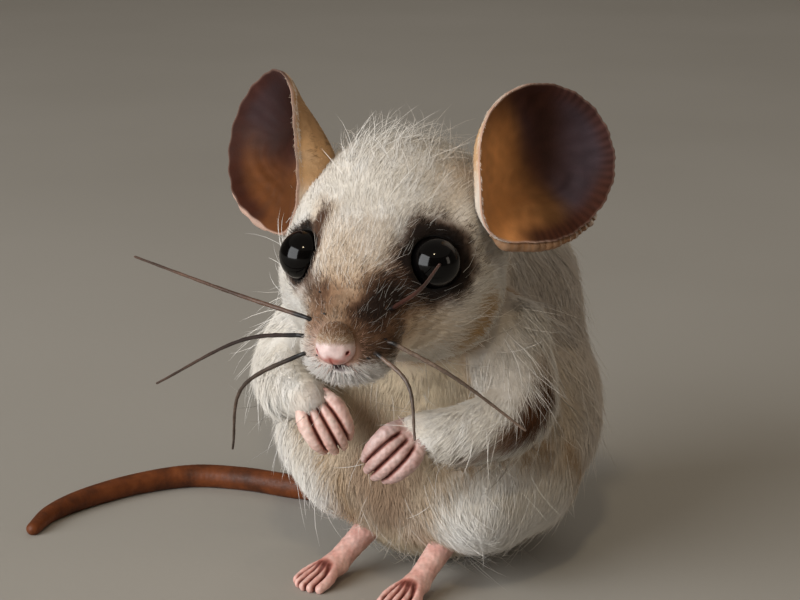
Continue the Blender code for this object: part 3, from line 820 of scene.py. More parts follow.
def blades(roots, normals, ways, long, wide, lift, droop, bend, rings=2, sink=0.14):
    """Closed three-sided blades from the roots: points, shading normals and triangles."""
    side = np.cross(normals, ways)
    points = np.zeros((len(roots), rings * 3 + 1, 3))
    shading = np.zeros_like(points)
    for i, s in enumerate(np.linspace(0, 1, rings + 1)):
        rise = (lift * s - droop * s * s)[:, None]
        aside = (bend * s * s)[:, None]
        middle = roots - normals * sink + long[:, None] * (ways * s + normals * rise + side * aside)
        if i == rings:
            points[:, -1] = middle
            shading[:, -1] = unit(normals + ways * 0.25)
            break
        half = (wide * 0.5 * (1 - 0.55 * s))[:, None]
        corners = (-side, side, normals * 1.3)
        shades = (normals - side * SOFTNESS, normals + side * SOFTNESS, normals)
        for j in range(3):
            points[:, i * 3 + j] = middle + corners[j] * half
            shading[:, i * 3 + j] = unit(shades[j])
    tris = [(2, 1, 0)]
    for i in range(rings - 1):
        low, high = i * 3, i * 3 + 3
        for a, b in ((0, 1), (1, 2), (2, 0)):
            tris += [(low + a, low + b, high + b), (low + a, high + b, high + a)]
    last, tip = (rings - 1) * 3, rings * 3
    tris += [(last, last + 1, tip), (last + 1, last + 2, tip), (last + 2, last, tip)]
    points[:, :, 2] = np.maximum(points[:, :, 2], TUFT_FLOOR)
    return points, shading, np.array(tris)


def make_coat(name, made, tints, places, material):
    """Joins blades into pieces of a limited size, each a mesh of its own."""
    points, shading, tris = made
    count, size = points.shape[:2]
    order = np.random.default_rng(SEED + size).permutation(count)
    turn = np.linspace(0, 2 * math.pi, size, endpoint=False)
    ring = np.stack([np.cos(turn), np.sin(turn)], axis=1) * PATCH
    # Each tuft's colour with painted shade at its root and painted light at its tip.
    shade = np.ones(size)
    shade[:3] = ROOT_SHADE
    shade[-1] = TIP_SHADE
    pieces = math.ceil(count * len(tris) / PIECE_FACES)
    for i, chosen in enumerate(np.array_split(order, pieces)):
        faces = (np.arange(len(chosen))[:, None, None] * size + tris).reshape(-1, 3)
        tint = (tints[chosen][:, None, :] * shade[None, :, None]).reshape(-1, 3)
        uvs = (places[chosen][:, None, :] + ring)[:, tris.ravel()].reshape(-1, 2)
        piece = make_mesh(f"{name}_{i}", points[chosen].reshape(-1, 3), faces, tint, uvs)
        piece.data.normals_split_custom_set_from_vertices(shading[chosen].reshape(-1, 3))
        finish_piece(piece, material, "felt")


def clear_of_face(points, reach=0.0):
    """True for the blades that keep off the eyes, the nose and the mouth."""
    flat = points.reshape(-1, 3)
    own = to_head(flat)
    free = np.ones(len(flat), bool)
    for side in SIDES:
        free &= eye_distance(flat, side) > EYE_R + 0.12 + reach
    free &= balls_field(own, NOSE_BALLS, NOSE_BLEND) > 0.04
    free &= segment_distance(own, *CLEFT) > 0.3
    free &= egg_distance(own, MOUTH_PLACE, (0.7, 1.0, 0.3)) > 1
    return free.reshape(points.shape[:2]).all(axis=1)


def by_hand(own):
    """True for points of a hand's frame in the round space that the wool leaves to the hand."""
    return (np.hypot(own[..., 1], own[..., 2]) < CUFF_WIDE) & (own[..., 2] > CUFF_BELOW)


def clear_of_hands(points, chance):
    """True for the blades that don't reach over the fingers, so that the wool ends in a cuff."""
    ragged = chance.uniform(*CUFF_RAGGED, len(points))[:, None]
    free = np.ones(len(points), bool)
    for side in SIDES:
        own = to_hand(points, side)
        free &= ~(by_hand(own) & (own[..., 0] > CUFF_END[side] + ragged)).any(axis=1)
    return free


def short_of_hands(roots, ways, long, chance):
    """The tufts' lengths, cut where they would reach past the cuff."""
    for side in SIDES:
        own = to_hand(roots, side)
        ahead = np.maximum(ways @ hand_axes(side)[:, 0], 0.05)
        room = CUFF_END[side] + chance.uniform(*CUFF_RAGGED, len(roots)) - own[:, 0]
        short = np.minimum(long, np.maximum(room / ahead, 0.45))
        long = np.where(by_hand(own) & (own[:, 0] > -6), short, long)
    return long


def coat_sizes(points, chance):
    """Length and width of the tuft at each root."""
    form = form_of(points)
    own = to_head(points)
    on_head = 2.3 - 1.45 * smooth(0.5, -6.5, own[:, 1]) + 0.7 * smooth(6, 14, own[:, 1])
    long = np.where(form == 0, on_head, array(FORM_LENGTHS)[form])
    chin = smooth(-7.6, -9.2, own[:, 2]) * smooth(-4.5, -7.0, own[:, 1]) * (form == 0)
    flank = smooth(6, 13, np.abs(points[:, 0])) * smooth(-6, 2, points[:, 1]) * (form == 1)
    long += 0.95 * chin + 0.8 * flank
    for side in SIDES:
        wrist = np.linalg.norm(points - array(HANDS[side][0]), axis=1)
        long *= 1 - 0.5 * smooth(6.0, 2.0, wrist)
        long *= 1 - 0.5 * smooth(5.5, 2.8, eye_distance(points, side))
    wide = 0.052 + 0.019 * long
    long *= chance.uniform(0.65, 1.3, len(points))
    wide *= chance.uniform(0.75, 1.25, len(points))
    return long, wide


def strand_tints(roots, normals, chance):
    """The marks' colours as single strands show them: strays across an edge, dark ones uneven."""
    own = to_head(roots)
    count = len(roots)
    face = smooth(0, -6, own[:, 1]) * (form_of(roots) == 0)
    stray = chance.normal(0, 1, roots.shape) * (0.22 + 0.22 * face)[:, None]
    tints = marks(roots + stray, normals)
    dark = np.clip(1 - tints[:, 1] / CREAM[1], 0, 1)
    draw = chance.uniform(0, 1, count)
    chin = smooth(-7.4, -8.4, own[:, 2]) * smooth(-4.6, -7.0, own[:, 1]) * face
    tints = layered(
        tints,
        (SEAL, (draw < 0.22) * face * smooth(0.1, 0.5, dark) * 0.75),
        (CREAM, (draw > 0.92) * face * smooth(0.9, 0.5, dark) * 0.55),
        (WHITE, (np.abs(draw - 0.5) < 0.24) * chin * 0.9),
    )
    uneven = chance.uniform(0.96, 1.03, count) * (1 + chance.uniform(-0.25, 0.25, count) * dark)
    return tints * uneven[:, None], face


def coat_density(points, normals):
    """More and finer tufts on the face, fewer under the body."""
    form = form_of(points)
    face = smooth(4, -4, to_head(points)[:, 1]) * (form == 0)
    under = smooth(-0.5, -0.95, normals[:, 2]) * (form != 0)
    return 1 + 2.8 * face + 0.25 * (form >= 4) - 0.8 * under


def wisp_density(points, normals):
    """Loose wisps grow at the crown, the ears, the chin, the back and the hem of the haunches."""
    own = to_head(points)
    form = form_of(points)
    crown = smooth(7, 10.5, own[:, 2]) * (form == 0)
    ears = sum(smooth(6.5, 4.5, egg_distance(own, mirrored(EAR_ROOT, side), 1)) for side in SIDES)
    back = smooth(-2, 6, points[:, 1]) * (form == 1)
    hem = smooth(7, 3, points[:, 2]) * smooth(0.4, -0.4, normals[:, 2])
    arms = (form >= 4) * smooth(-20, -12, points[:, 1])
    throat = smooth(-6, -8.5, own[:, 2]) * (form == 0)
    face = smooth(2.5, -1.5, own[:, 1]) * (form == 0)
    body = 0.5 * back + 1.2 * hem + 0.9 * arms
    return (0.3 + 3.0 * crown + 2.0 * ears + body + 0.6 * throat) * (1 - face)


def strand_density(points, _):
    own = to_head(points)
    return smooth(2.5, -3.0, own[:, 1]) * smooth(-7.5, -6.0, own[:, 2]) * (form_of(points) == 0)


def root_coat(skin, seed, density, count, turn):
    """Roots of a coat on the skin, their normals, and the ways in which its wool lies."""
    chance = np.random.default_rng(SEED + seed)
    roots, normals = scatter(*skin, density, count, chance)
    ways = spin(lie_of_wool(roots, normals), normals, chance.normal(0, turn, count))
    return chance, roots, normals, ways


def finish_coat(name, roots, normals, made, free, tints, material):
    """Makes the coat of those of its blades that are free, and not rooted at the floor."""
    points, shading, tris = made
    keep = free & (roots[:, 2] > SKIN_FLOOR + 0.1)
    places = atlas_places(roots, normals)
    make_coat(name, (points[keep], shading[keep], tris), tints[keep], places[keep], material)


def dress_down(skin, material):
    """The short, dense down next to the felt: straight, fine and flat."""
    chance, roots, normals, ways = root_coat(skin, 2, coat_density, DOWN_TUFTS, 0.22)
    long, wide = coat_sizes(roots, chance)
    long = short_of_hands(roots, ways, long * 0.62, chance)
    tints, face = strand_tints(roots, normals, chance)
    lift = chance.uniform(0.15, 0.3, DOWN_TUFTS) * (1 + 0.8 * face)
    made = blades(roots, normals, ways, long, wide * 0.95, lift, lift * 0.2, lift * 0, rings=1)
    free = clear_of_face(made[0]) & clear_of_hands(made[0], chance)
    finish_coat("down", roots, normals, made, free, tints, material)


def dress_body(skin, material):
    """The longer coat over the down, which follows the lie of the wool."""
    chance, roots, normals, ways = root_coat(skin, 0, coat_density, BODY_TUFTS, 0.15)
    long, wide = coat_sizes(roots, chance)
    long = short_of_hands(roots, ways, long, chance)
    tints, face = strand_tints(roots, normals, chance)
    lift = chance.uniform(0.13, 0.24, BODY_TUFTS) * (1 + 1.4 * face)
    droop = lift * chance.uniform(0.8, 1.05, BODY_TUFTS) * (1 - 0.35 * face)
    bend = chance.normal(0, 0.09, BODY_TUFTS)
    made = blades(roots, normals, ways, long, wide * 0.85, lift, droop, bend)
    free = clear_of_face(made[0]) & clear_of_hands(made[0], chance)
    finish_coat("coat", roots, normals, made, free, tints, material)


def dress_wisps(skin, material):
    """Loose, pale ends of wool that stand out from the coat."""
    chance, roots, normals, ways = root_coat(skin, 1, wisp_density, WISPS, 0.5)
    crown = smooth(7, 11, to_head(roots)[:, 2])
    long = chance.uniform(2.6, 6.2, WISPS) * (1 - 0.12 * crown)
    wide = chance.uniform(0.045, 0.075, WISPS)
    lift = chance.uniform(0.15, 0.6, WISPS) + 0.5 * crown * chance.uniform(0, 1, WISPS)
    droop = lift * chance.uniform(0.1, 0.8, WISPS)
    bend = chance.normal(0, 0.28, WISPS)
    made = blades(roots, normals, ways, long, wide, lift, droop, bend, rings=4)
    free = clear_of_face(made[0], 0.2) & clear_of_hands(made[0], chance)
    tints = layered(marks(roots, normals), (WHITE, np.full(WISPS, 0.6)))
    finish_coat("wisps", roots, normals, made, free, tints, material)


def dress_strands(skin, material):
    """Single longer hairs on the face, pale over the dark marks and dark over the bridge."""
    chance, roots, normals, ways = root_coat(skin, 4, strand_density, FACE_STRANDS, 0.28)
    muzzle = smooth(-4, -8, to_head(roots)[:, 1])
    long = chance.uniform(1.2, 3.0, FACE_STRANDS) * (1 - 0.4 * muzzle)
    wide = chance.uniform(0.03, 0.045, FACE_STRANDS)
    lift = chance.uniform(0.25, 0.6, FACE_STRANDS)
    bend = chance.normal(0, 0.25, FACE_STRANDS)
    made = blades(roots, normals, ways, long, wide, lift, lift * 0.8, bend, rings=3)
    own = marks(roots, normals)
    dark = smooth(0.6, 0.2, own[:, 1] / CREAM[1])
    black = chance.uniform(0, 1, FACE_STRANDS) < 0.35
    tints = layered(own, (WHITE, 0.7 - 0.35 * dark), (SEAL, black * smooth(0.1, 0.6, dark) * 0.85))
    finish_coat("strands", roots, normals, made, clear_of_face(made[0], 0.1), tints, material)


def ear_axes(side):
    """The ear's own axes in the head's frame, for the left ear or the right one's mirror image."""
    facing, tilt = math.radians(EAR_FACING), math.radians(EAR_TILT)
    ahead = (math.sin(facing) * math.cos(tilt), -math.cos(facing) * math.cos(tilt), math.sin(tilt))
    front = array(ahead)
    out = array((math.cos(facing), math.sin(facing), 0))
    up = -np.cross(out, front)
    up *= np.sign(up[2])
    roll = math.radians(EAR_ROLL[side])
    out, up = out * math.cos(roll) + up * math.sin(roll), up * math.cos(roll) - out * math.sin(roll)
    lean = turned(-EAR_LEAN[side], 1)
    return lean @ out, lean @ up, lean @ front


def ear_stand(side):
    """The ear's middle and the way it faces, in the row frame."""
    front = mirrored(ear_axes(side)[2], side)
    return from_head(array(EAR_PLACES[side])), unit(front @ HEAD_FRAME.T)


def pointing(angle, degrees):
    """1 where an angle is at so many degrees, falling to 0 a quarter turn away."""
    return np.maximum(0, np.cos(angle - math.radians(degrees)))


def ear_ribs(angle, side):
    """The fine ribs round the ear's rim, and how far round each point is on its outer side."""
    ribs = np.sin(EAR_FINE_PLEATS * angle + 1.5 * np.sin(5 * angle)) * EAR_RIBS[side]
    return ribs, np.cos(angle + 0.25)


def valley_line(v):
    """Where the fold down the ear's inside runs, at each height."""
    return 0.3 - 0.22 * smooth(0.45, 1.0, v)


def ear_rim(angle):
    """How far out the ear's rim is, all the way round."""
    wide = np.where(np.cos(angle) > 0, EAR_WIDE_OUT, EAR_WIDE_IN)
    high = np.where(np.sin(angle) > 0, EAR_HIGH, EAR_LOW)
    corner = pointing(angle, EAR_CORNER_AT) ** 12
    return (1 + EAR_CORNER * corner) / np.hypot(np.cos(angle) / wide, np.sin(angle) / high)


def ear_relief(angle, rho, u, v):
    """The arcs, the valley and the streaks in the leather of the ear's inside."""
    swirl = np.hypot(u - 0.08, (v + 0.12) * 1.25)
    arcs = np.sin(swirl * 25 + 1.1 * np.sin(3 * angle))
    arcs *= smooth(0.78, 0.5, swirl) * smooth(0.1, 0.3, swirl)
    folds = 0.13 * arcs * smooth(0.02, -0.22, v) * smooth(-0.55, -0.1, u)
    valley = -0.6 * np.exp(-(((u - valley_line(v)) / 0.2) ** 2)) * smooth(-0.3, 0.3, v)
    streaks = 0.04 * np.sin(angle * 19 + 4 * rho + 2 * np.sin(3 * angle)) * smooth(0.35, 0.7, rho)
    return (folds + valley + streaks) * smooth(0.98, 0.85, rho)


def ear_points(polar, angle, side):
    """The leather cup: places for polar 0 (inside's middle) to pi (outside's middle)."""
    out, up, front = ear_axes(side)
    centre = mirrored(EAR_PLACES[side], side)
    share = np.minimum(polar, math.pi - polar) / (math.pi / 2)
    inner = polar <= math.pi / 2
    rho = 1 - (1 - share) ** 1.8
    u, v = rho * np.cos(angle), rho * np.sin(angle)
    curl = 1 + EAR_CURL[side] * pointing(angle, EAR_CURL_AT[side])
    curl -= EAR_OPEN[side] * pointing(angle, EAR_OPEN_AT) ** 2
    pleat = np.sin(EAR_PLEATS * angle) * np.maximum(0, rho - 0.72) / 0.28
    ribs, outer = ear_ribs(angle, side)
    fine = ribs * smooth(0.86, 1.0, rho) * smooth(-0.35, 0.35, outer)
    reach = ear_rim(angle) * rho * (1 + 0.004 * pleat + 0.0035 * fine)
    forward = EAR_CUP * rho**2.2 * curl + EAR_PLEAT_DEPTH * 0.35 * pleat + 0.09 * fine
    half = EAR_THICK / 2 * np.sqrt(np.maximum(0, 1 - share**8))
    sink = smooth(1, 0, rho / EAR_ROOT_SPREAD)
    swell = smooth(-0.2, 0.9, np.cos(angle - math.radians(EAR_ROLL_AT))) * (1 - sink)
    inside = forward + half + ear_relief(angle, rho, u, v)
    outside = forward - half - EAR_ROLL_DEEP[side] * swell * smooth(1, 0.8, rho)
    past = 1 + EAR_ROLL_PAST[side] * swell * smooth(1, 0.9, rho)
    flat = out * (reach * np.cos(angle))[:, None] + up * (reach * np.sin(angle))[:, None]
    points = flat * np.where(inner, 1, (1 - 0.55 * sink) * past)[:, None]
    points += front * np.where(inner, inside, outside)[:, None]
    points += (array(EAR_ROOT) - centre) * np.where(inner, 0, sink)[:, None]
    return from_head(mirrored(points + centre, side)), rho, u, v


def ear_back(v, patchy):
    """The back's colour: cream by the head and low down, tan and then brown towards the top."""
    return layered(
        GOLD,
        (BROWN, smooth(0.1, 1.0, v + 0.2 * patchy) * 0.45),
        (CREAM, smooth(0.3, -0.3, v + 0.15 * patchy) * 0.85),
    )


def ear_tint(polar, angle, rho, u, v, side):
    """Leather colours: warm brown by the head, plum outside, a pale rim, painted shade in the valley and by
    the rim, and each ear's painted light and shade.
    """
    weight_u, weight_v, start = EAR_WARM[side]
    bright, fade = EAR_FADE[side]
    soft = EAR_SOFT[side]
    place = np.column_stack([u * 8, v * 8, np.zeros(len(u))])
    patchy, fine = waves(place, 2.5, 41), waves(place, 0.7, 42)
    warm = -weight_u * u - weight_v * v - start - 0.04 + 0.05 * patchy
    orange = array(LEATHER_ORANGE) * (bright - fade * smooth(-0.6, 0.3, u))[:, None]
    off = u - valley_line(v)
    by_valley = np.exp(-(((off + 0.14) / 0.3) ** 2)) * smooth(-0.7, 0.1, v)
    valley = np.exp(-((off / 0.2) ** 2)) * smooth(-0.45, 0.15, v)
    tint = layered(
        LEATHER_PLUM,
        (orange, smooth(-soft, soft, warm)),
        # Painted shade: dark red-brown beside the fold and near black down it.
        (LEATHER_SHADE, by_valley * 0.75),
        (LEATHER_DARK, valley * 0.9),
        # Painted shade: dark red-brown at the top and near the rim inside the cup.
        (LEATHER_SHADE, smooth(0.35, 0.95, v) * smooth(0.6, 0.1, u) * 0.85),
        (LEATHER_SHADE, smooth(0.8, 0.95, rho) * smooth(-0.3, 0.3, np.cos(angle + 0.3)) * 0.7),
        (LEATHER_SHADE, smooth(0.7, 0.9, rho) * smooth(0.4, 0.8, np.cos(angle + 1.05)) * 0.85),
    )
    ribs, outer = ear_ribs(angle, side)
    tint *= (1 + 0.3 * ribs * smooth(0.75, 0.95, rho) * smooth(-0.2, 0.3, outer))[:, None]
    # Each ear's painted light and shade, with a little uneven tone.
    tint *= (1 + 0.08 * patchy + 0.05 * fine)[:, None] * array(EAR_LIGHT_AND_SHADE[side])
    pale_rim = smooth(0.965, 0.99, rho) * (0.25 + 0.75 * smooth(0.2, -0.3, np.cos(angle)))
    tint = layered(tint, (LEATHER_RIM, pale_rim * 0.85))
    return np.where((polar > math.pi / 2)[:, None], ear_back(v, patchy), tint)


def make_hem(side, material):
    """The rolled, stitched hem under the ear's lower rim: pale beads of leather between stitches."""
    angle = np.radians(np.linspace(*HEM_ANGLES[side], 200))
    rim = ear_points(np.full(len(angle), math.pi * 0.56), angle, side)[0]
    middle, front = ear_stand(side)
    share = np.linspace(0, 1, len(angle))
    near, far = HEM_WIDE[side]
    taper = smooth(0, 0.12, share) * smooth(1, 0.85, share)
    full = (near + (far - near) * smooth(0.3, 0.65, share)) * taper
    route = rim - front * 0.2 + unit(rim - middle) * (0.12 + 0.9 * full)[:, None]

    def beaded(step, turn):
        deep = BEAD_DEPTH[side] * (0.12 + 0.88 * smooth(0.45, 0.65, step / len(route)))
        lumps = 0.04 * np.sin(3 * turn + step * 0.2)
        return 1 - deep + deep * np.abs(np.sin(step * BEAD_STEP)) + lumps

    def hem_tint(points):
        if side == "right":
            return np.tile(array(LEATHER_RIM), (len(points), 1))
        away = np.linalg.norm(points[:, None, :] - route[None, ::2], axis=2)
        step = away.argmin(axis=1) * 2
        crest = np.abs(np.sin((step + len(DOME)) * BEAD_STEP))
        outer = smooth(0.45, 0.75, step / len(route))
        pale = smooth(0.5, 0.95, crest) * (0.04 + 0.6 * outer)
        return layered(TAN, (GOLD, 0.15 * (1 - outer)), (WHITE, pale))

    tube = np.column_stack([route, 0.12 + full])
    hem = make_tube(f"ear_hem_{side}", tube, 14, beaded, hem_tint)
    finish_piece(hem, material, "ear_leather")


def make_ear(side, material, plush):
    """A leather cup with its hem below and plush on its back."""
    rings, turns = 95, 360
    polar, angle = ball_angles(rings, turns)
    polar = np.clip(polar, EAR_POLE, math.pi - EAR_POLE)
    points, rho, u, v = ear_points(polar, angle, side)
    tris = facing_out(points, ball_faces(rings, turns))
    tint = ear_tint(polar, angle, rho, u, v, side)
    ear = make_mesh(f"leather_ear_{side}", points, tris, tint)
    finish_piece(ear, material, "ear_leather", f"ear_{side}")
    make_hem(side, material)
    dress_ear(side, plush)


def dress_ear(side, material):
    """Short plush on the ear's back, longer by the head, and a soft nap on the rim by the head."""
    chance = np.random.default_rng(SEED + 5)
    count = EAR_TUFTS
    rho = np.sqrt(chance.uniform(0.01, 0.86, count))
    angle = chance.uniform(0, 2 * math.pi, count)
    polar = math.pi - (1 - (1 - rho) ** (1 / 1.8)) * math.pi / 2
    on_rim = chance.uniform(0, 1, count) < 0.3
    angle = np.where(on_rim, chance.uniform(math.pi * 0.42, math.pi * 1.3, count), angle)
    polar = np.where(on_rim, chance.uniform(0.49, 0.535, count) * math.pi, polar)
    step = 0.01
    at, rho, u, v = ear_points(polar, angle, side)
    along = ear_points(polar - step, angle, side)[0] - at
    across = ear_points(polar, angle + step, side)[0] - at
    middle, ahead = ear_stand(side)
    normals = unit(np.cross(across, along))
    normals *= -np.sign((normals * ahead).sum(axis=1)[~on_rim].mean())
    normals = np.where(on_rim[:, None], unit(unit(at - middle) - ahead * 0.3), normals)
    ways = along_surface(np.where(on_rim[:, None], unit(across), unit(along)), normals)
    ways = spin(ways, normals, chance.normal(0, 0.35, count))
    by_head = smooth(0.6, 0.15, rho)
    nap = chance.uniform(0.3, 0.55, count)
    long = np.where(on_rim, nap, chance.uniform(0.7, 1.1, count) * (1 + 0.9 * by_head))
    wide = np.where(on_rim, 0.06, chance.uniform(0.08, 0.11, count))
    lift = np.where(on_rim, 0.1, chance.uniform(0.15, 0.35, count))
    bend = chance.normal(0, 0.12, count)
    made = blades(at, normals, ways, long, wide, lift, lift * 0.9, bend, sink=0.08)
    tints = layered(
        ear_back(v, waves(at, 1.5, 51)),
        (LEATHER_RIM, on_rim * chance.uniform(0.3, 0.8, count)),
        (CREAM, on_rim * chance.uniform(0.2, 0.7, count)),
    )
    tints *= chance.uniform(0.94, 1.08, (count, 1))
    places = np.column_stack([0.5 + u * 0.4, 0.5 + v * 0.4])
    make_coat(f"ear_plush_{side}", made, tints, places, material)


def make_eye(side, material):
    """A polished bead in its felt socket."""
    rings, turns = 63, 96
    ball = ball_points(*ball_angles(rings, turns)) * EYE_R
    points = from_head(ball + array(EYE_PLACES[side]))
    eye = make_mesh(f"glass_bead_{side}", points, ball_faces(rings, turns))
    finish_piece(eye, material, "glass_bead", f"eye_{side}")


def digit_offsets(count):
    """How far each of the digits is from the middle one, in digits."""
    return np.arange(count) - (count - 1) / 2


def finger_routes():
    routes = []
    for offset in digit_offsets(FINGERS):
        y = offset * FINGER_PITCH
        short = 0.28 * offset**2
        points = (
            (0.0, y * 0.72, 0.5),
            (2.3 - short, y, 1.15),
            (4.5 - short, y * 0.95, 0.5),
            (5.6 - short, y * 0.78, -1.1),
        )
        routes.append(smooth_route(np.column_stack([points, FINGER_R]), 12))
    return routes


def toe_routes():
    routes = []
    for offset in digit_offsets(TOES):
        short = 0.16 * offset**2
        root, tip = (offset * spread for spread in TOE_SPREAD)
        points = (
            (root * 0.6, -1.2, 1.5),
            (root, -2.6, 1.55),
            (tip, -4.6 + short, 1.05),
            (tip * 1.02, -6.0 + short, 0.5),
        )
        route = smooth_route(points, 9)
        routes.append(np.column_stack([route, np.linspace(*TOE_R, len(route))]))
    return routes


def paw_fields(points, routes, core, fade_axis, fade):
    """Distance to the whole paw, and how near each point is to the groove between two digits."""
    digits = np.stack([limb_field(points, route)[0] for route in routes])
    order = np.sort(digits, axis=0)
    groove = np.exp(-(((order[1] - order[0]) / 0.26) ** 2))
    whole = soft_min(np.stack([soft_min(digits, 0.16), core(points)]), 0.22)
    groove *= smooth(1.2, 0.2, order[0]) * smooth(*fade, points[:, fade_axis])
    return whole + 0.25 * groove, groove


def make_paw(node, axes, origin, box, digits, shade, material, floor=-math.inf):
    """Clay digits with grooves between them, pressed together on a palm or a shank."""

    def field(points):
        whole = paw_fields(points, *digits)[0] + 0.02 * waves(points, 0.35, 61)
        return np.maximum(whole, floor - points[:, 2])

    points, quads = surface_net(field, *box, LIMB_STEP)
    patchy = waves(points, 0.9, 62)
    groove = paw_fields(points, *digits)[1] + 0.08 * patchy
    tint = layered(
        CLAY,
        (CLAY_PALE, np.clip(0.35 + 0.25 * patchy, 0, 1)),
        (CLAY_RED, smooth(0.02, 0.5, groove) * 0.8),
        (CLAY_DEEP, smooth(0.25, 0.85, groove)),
    )
    tint *= (1 + 0.08 * waves(points, 0.3, 63))[:, None] * array(shade)
    paw = make_mesh(f"clay_{node}", points @ axes.T + array(origin), quads, tint)
    finish_piece(paw, material, "clay", node)


def make_hand(side, material):
    def palm(points):
        return balls_field(points, PALM, 0.5)

    digits = (finger_routes(), palm, 0, (0.2, 1.2))
    place = HANDS[side][0]
    make_paw(f"hand_{side}", hand_axes(side), place, HAND_BOX, digits, HAND_LIGHT_AND_SHADE[side], material)


def make_foot(side, material):
    (x, y), turn = FEET[side]
    route = smooth_route(np.column_stack([FOOT_SHANK, FOOT_SHANK_R]), 12)

    def shank(points):
        return limb_field(points, route)[0]

    digits = (toe_routes(), shank, 1, (-2.2, -3.4))
    axes = turned(turn, 2)
    make_paw(f"foot_{side}", axes, (x, y, 0), FOOT_BOX, digits, FOOT_SHADE, material, floor=0.01)


def nose_cuts(points):
    """Distance to each nostril's slit and to the cleft below them, in the head's frame."""
    slits = [segment_distance(points * array((x, 1, 1)), *NOSE_SLIT) for x in (-1, 1)]
    return [*slits, segment_distance(points, *NOSE_CLEFT)]


def nose_field(points):
    pad = balls_field(points, NOSE_BALLS, NOSE_BLEND)
    for cut, radius in zip(nose_cuts(points), NOSE_CUT_R):
        pad = carve(pad, cut - radius, 0.08)
    return pad


def make_nose(material, wool):
    """A rounded pad with two nostrils and the start of the cleft under it."""
    points, quads = surface_net(nose_field, *NOSE_BOX, NOSE_STEP)
    height = points[:, 2]
    patchy = waves(points, 0.6, 71)
    *slits, cleft = nose_cuts(points)
    edges = np.min([*slits, cleft + 0.12], axis=0)
    tint = layered(
        NOSE_PINK,
        (TAN, smooth(-6.2, -5.4, height)),
        (NOSE_RED, smooth(-6.9, -7.6, height + 0.15 * patchy) * 0.8),
        (SLIT_RED, smooth(0.5, 0.2, edges) * 0.8),
        (SLIT_DARK, smooth(0.24, 0.12, edges)),
    )
    tint *= (1 + 0.08 * patchy)[:, None]
    nose = make_mesh("clay_nose", from_head(points), quads, tint)
    finish_piece(nose, material, "clay", "nose")
    dress_nose((points, quads, unit(slope(nose_field, points))), wool)


def fuzz_density(points, _):
    return smooth(-6.6, -5.6, points[:, 2])


def dress_nose(pad, material):
    """Short fuzz that runs from the face down over the top of the nose."""
    chance = np.random.default_rng(SEED + 3)
    count = NOSE_TUFTS
    roots, facing = scatter(*pad, fuzz_density, count, chance)
    ways = along_surface(roots - array((0, -11.5, -8.0)), facing)
    ways = spin(ways, facing, chance.normal(0, 0.5, count)) @ HEAD_FRAME.T
    height = roots[:, 2]
    long = chance.uniform(0.5, 1.0, count) * (1 - 0.5 * smooth(-5.4, -6.4, height))
    wide = chance.uniform(0.05, 0.075, count)
    lift = chance.uniform(0.2, 0.5, count)
    bend = chance.normal(0, 0.2, count)
    facing = facing @ HEAD_FRAME.T
    made = blades(from_head(roots), facing, ways, long, wide, lift, lift * 0.6, bend, sink=0.05)
    draw = chance.uniform(0, 1, count)
    tints = layered(
        TAN,
        (WARM, smooth(-5.0, -5.8, height) * 0.5),
        (FUZZ_PINK, smooth(-5.8, -6.4, height) * 0.85),
        (BROWN, (draw < 0.25) * smooth(-5.9, -5.3, height) * 0.6),
        (CREAM, (draw > 0.8) * 0.45),
    )
    make_coat("nose_fuzz", made, tints, 0.5 + facing[:, [0, 2]] * 0.4, material)


def domed(route):
    """The route with ever smaller sections past both ends, so that a tube along it is rounded."""
    for _ in range(2):
        radius = route[0, 3]
        out = unit(route[0, :3] - route[1, :3]) * radius
        angles = np.radians(DOME)[:, None]
        dome = np.hstack([route[0, :3] + out * np.sin(angles), radius * np.cos(angles)])
        route = np.vstack([dome, route])[::-1]
    return route


def make_tube(name, route, sides, ripple, tint=None):
    """A closed tube along a route of x, y, z, radius, whose radius ripple scales."""
    route = domed(route)
    tangents = unit(np.gradient(route[:, :3], axis=0))
    first = unit(np.cross(tangents[0], (0.1, 0.2, 1)))
    frames = []
    for tangent in tangents:
        first = unit(first - tangent * (first @ tangent))
        frames.append((first, np.cross(tangent, first)))
    turn = np.arange(sides) * 2 * math.pi / sides
    radius = route[:, 3, None] * ripple(np.arange(len(route))[:, None], turn[None, :])
    around = np.stack([np.cos(turn), np.sin(turn)], axis=1) @ np.array(frames)
    points = (route[:, None, :3] + around * radius[:, :, None]).reshape(-1, 3)
    ends = [points[:sides].mean(axis=0), points[-sides:].mean(axis=0)]
    points = np.vstack([points, ends])
    tris = ball_faces(len(route), sides)[:, ::-1]
    return make_mesh(name, points, tris, None if tint is None else tint(points))


def whisker_route(name):
    """The whisker's route and its root: it bends straight into the muzzle where it meets the wool."""

    def head_field(points):
        return balls_field(points, HEAD_BALLS, HEAD_BLEND)

    route = smooth_route(WHISKERS[name], 90)
    start = int(np.argmax(head_field(route) > WHISKER_ROOT))
    root = route[start]
    inward = -unit(slope(head_field, root[None, :]))[0]
    steps = np.linspace(1, 0, 7)[:-1, None]
    bent = root + (inward * 0.85 + unit(root - route[start + 4]) * 0.5) * WHISKER_SINK * steps**0.8
    return from_head(np.vstack([bent, route[start:]])), from_head(root)


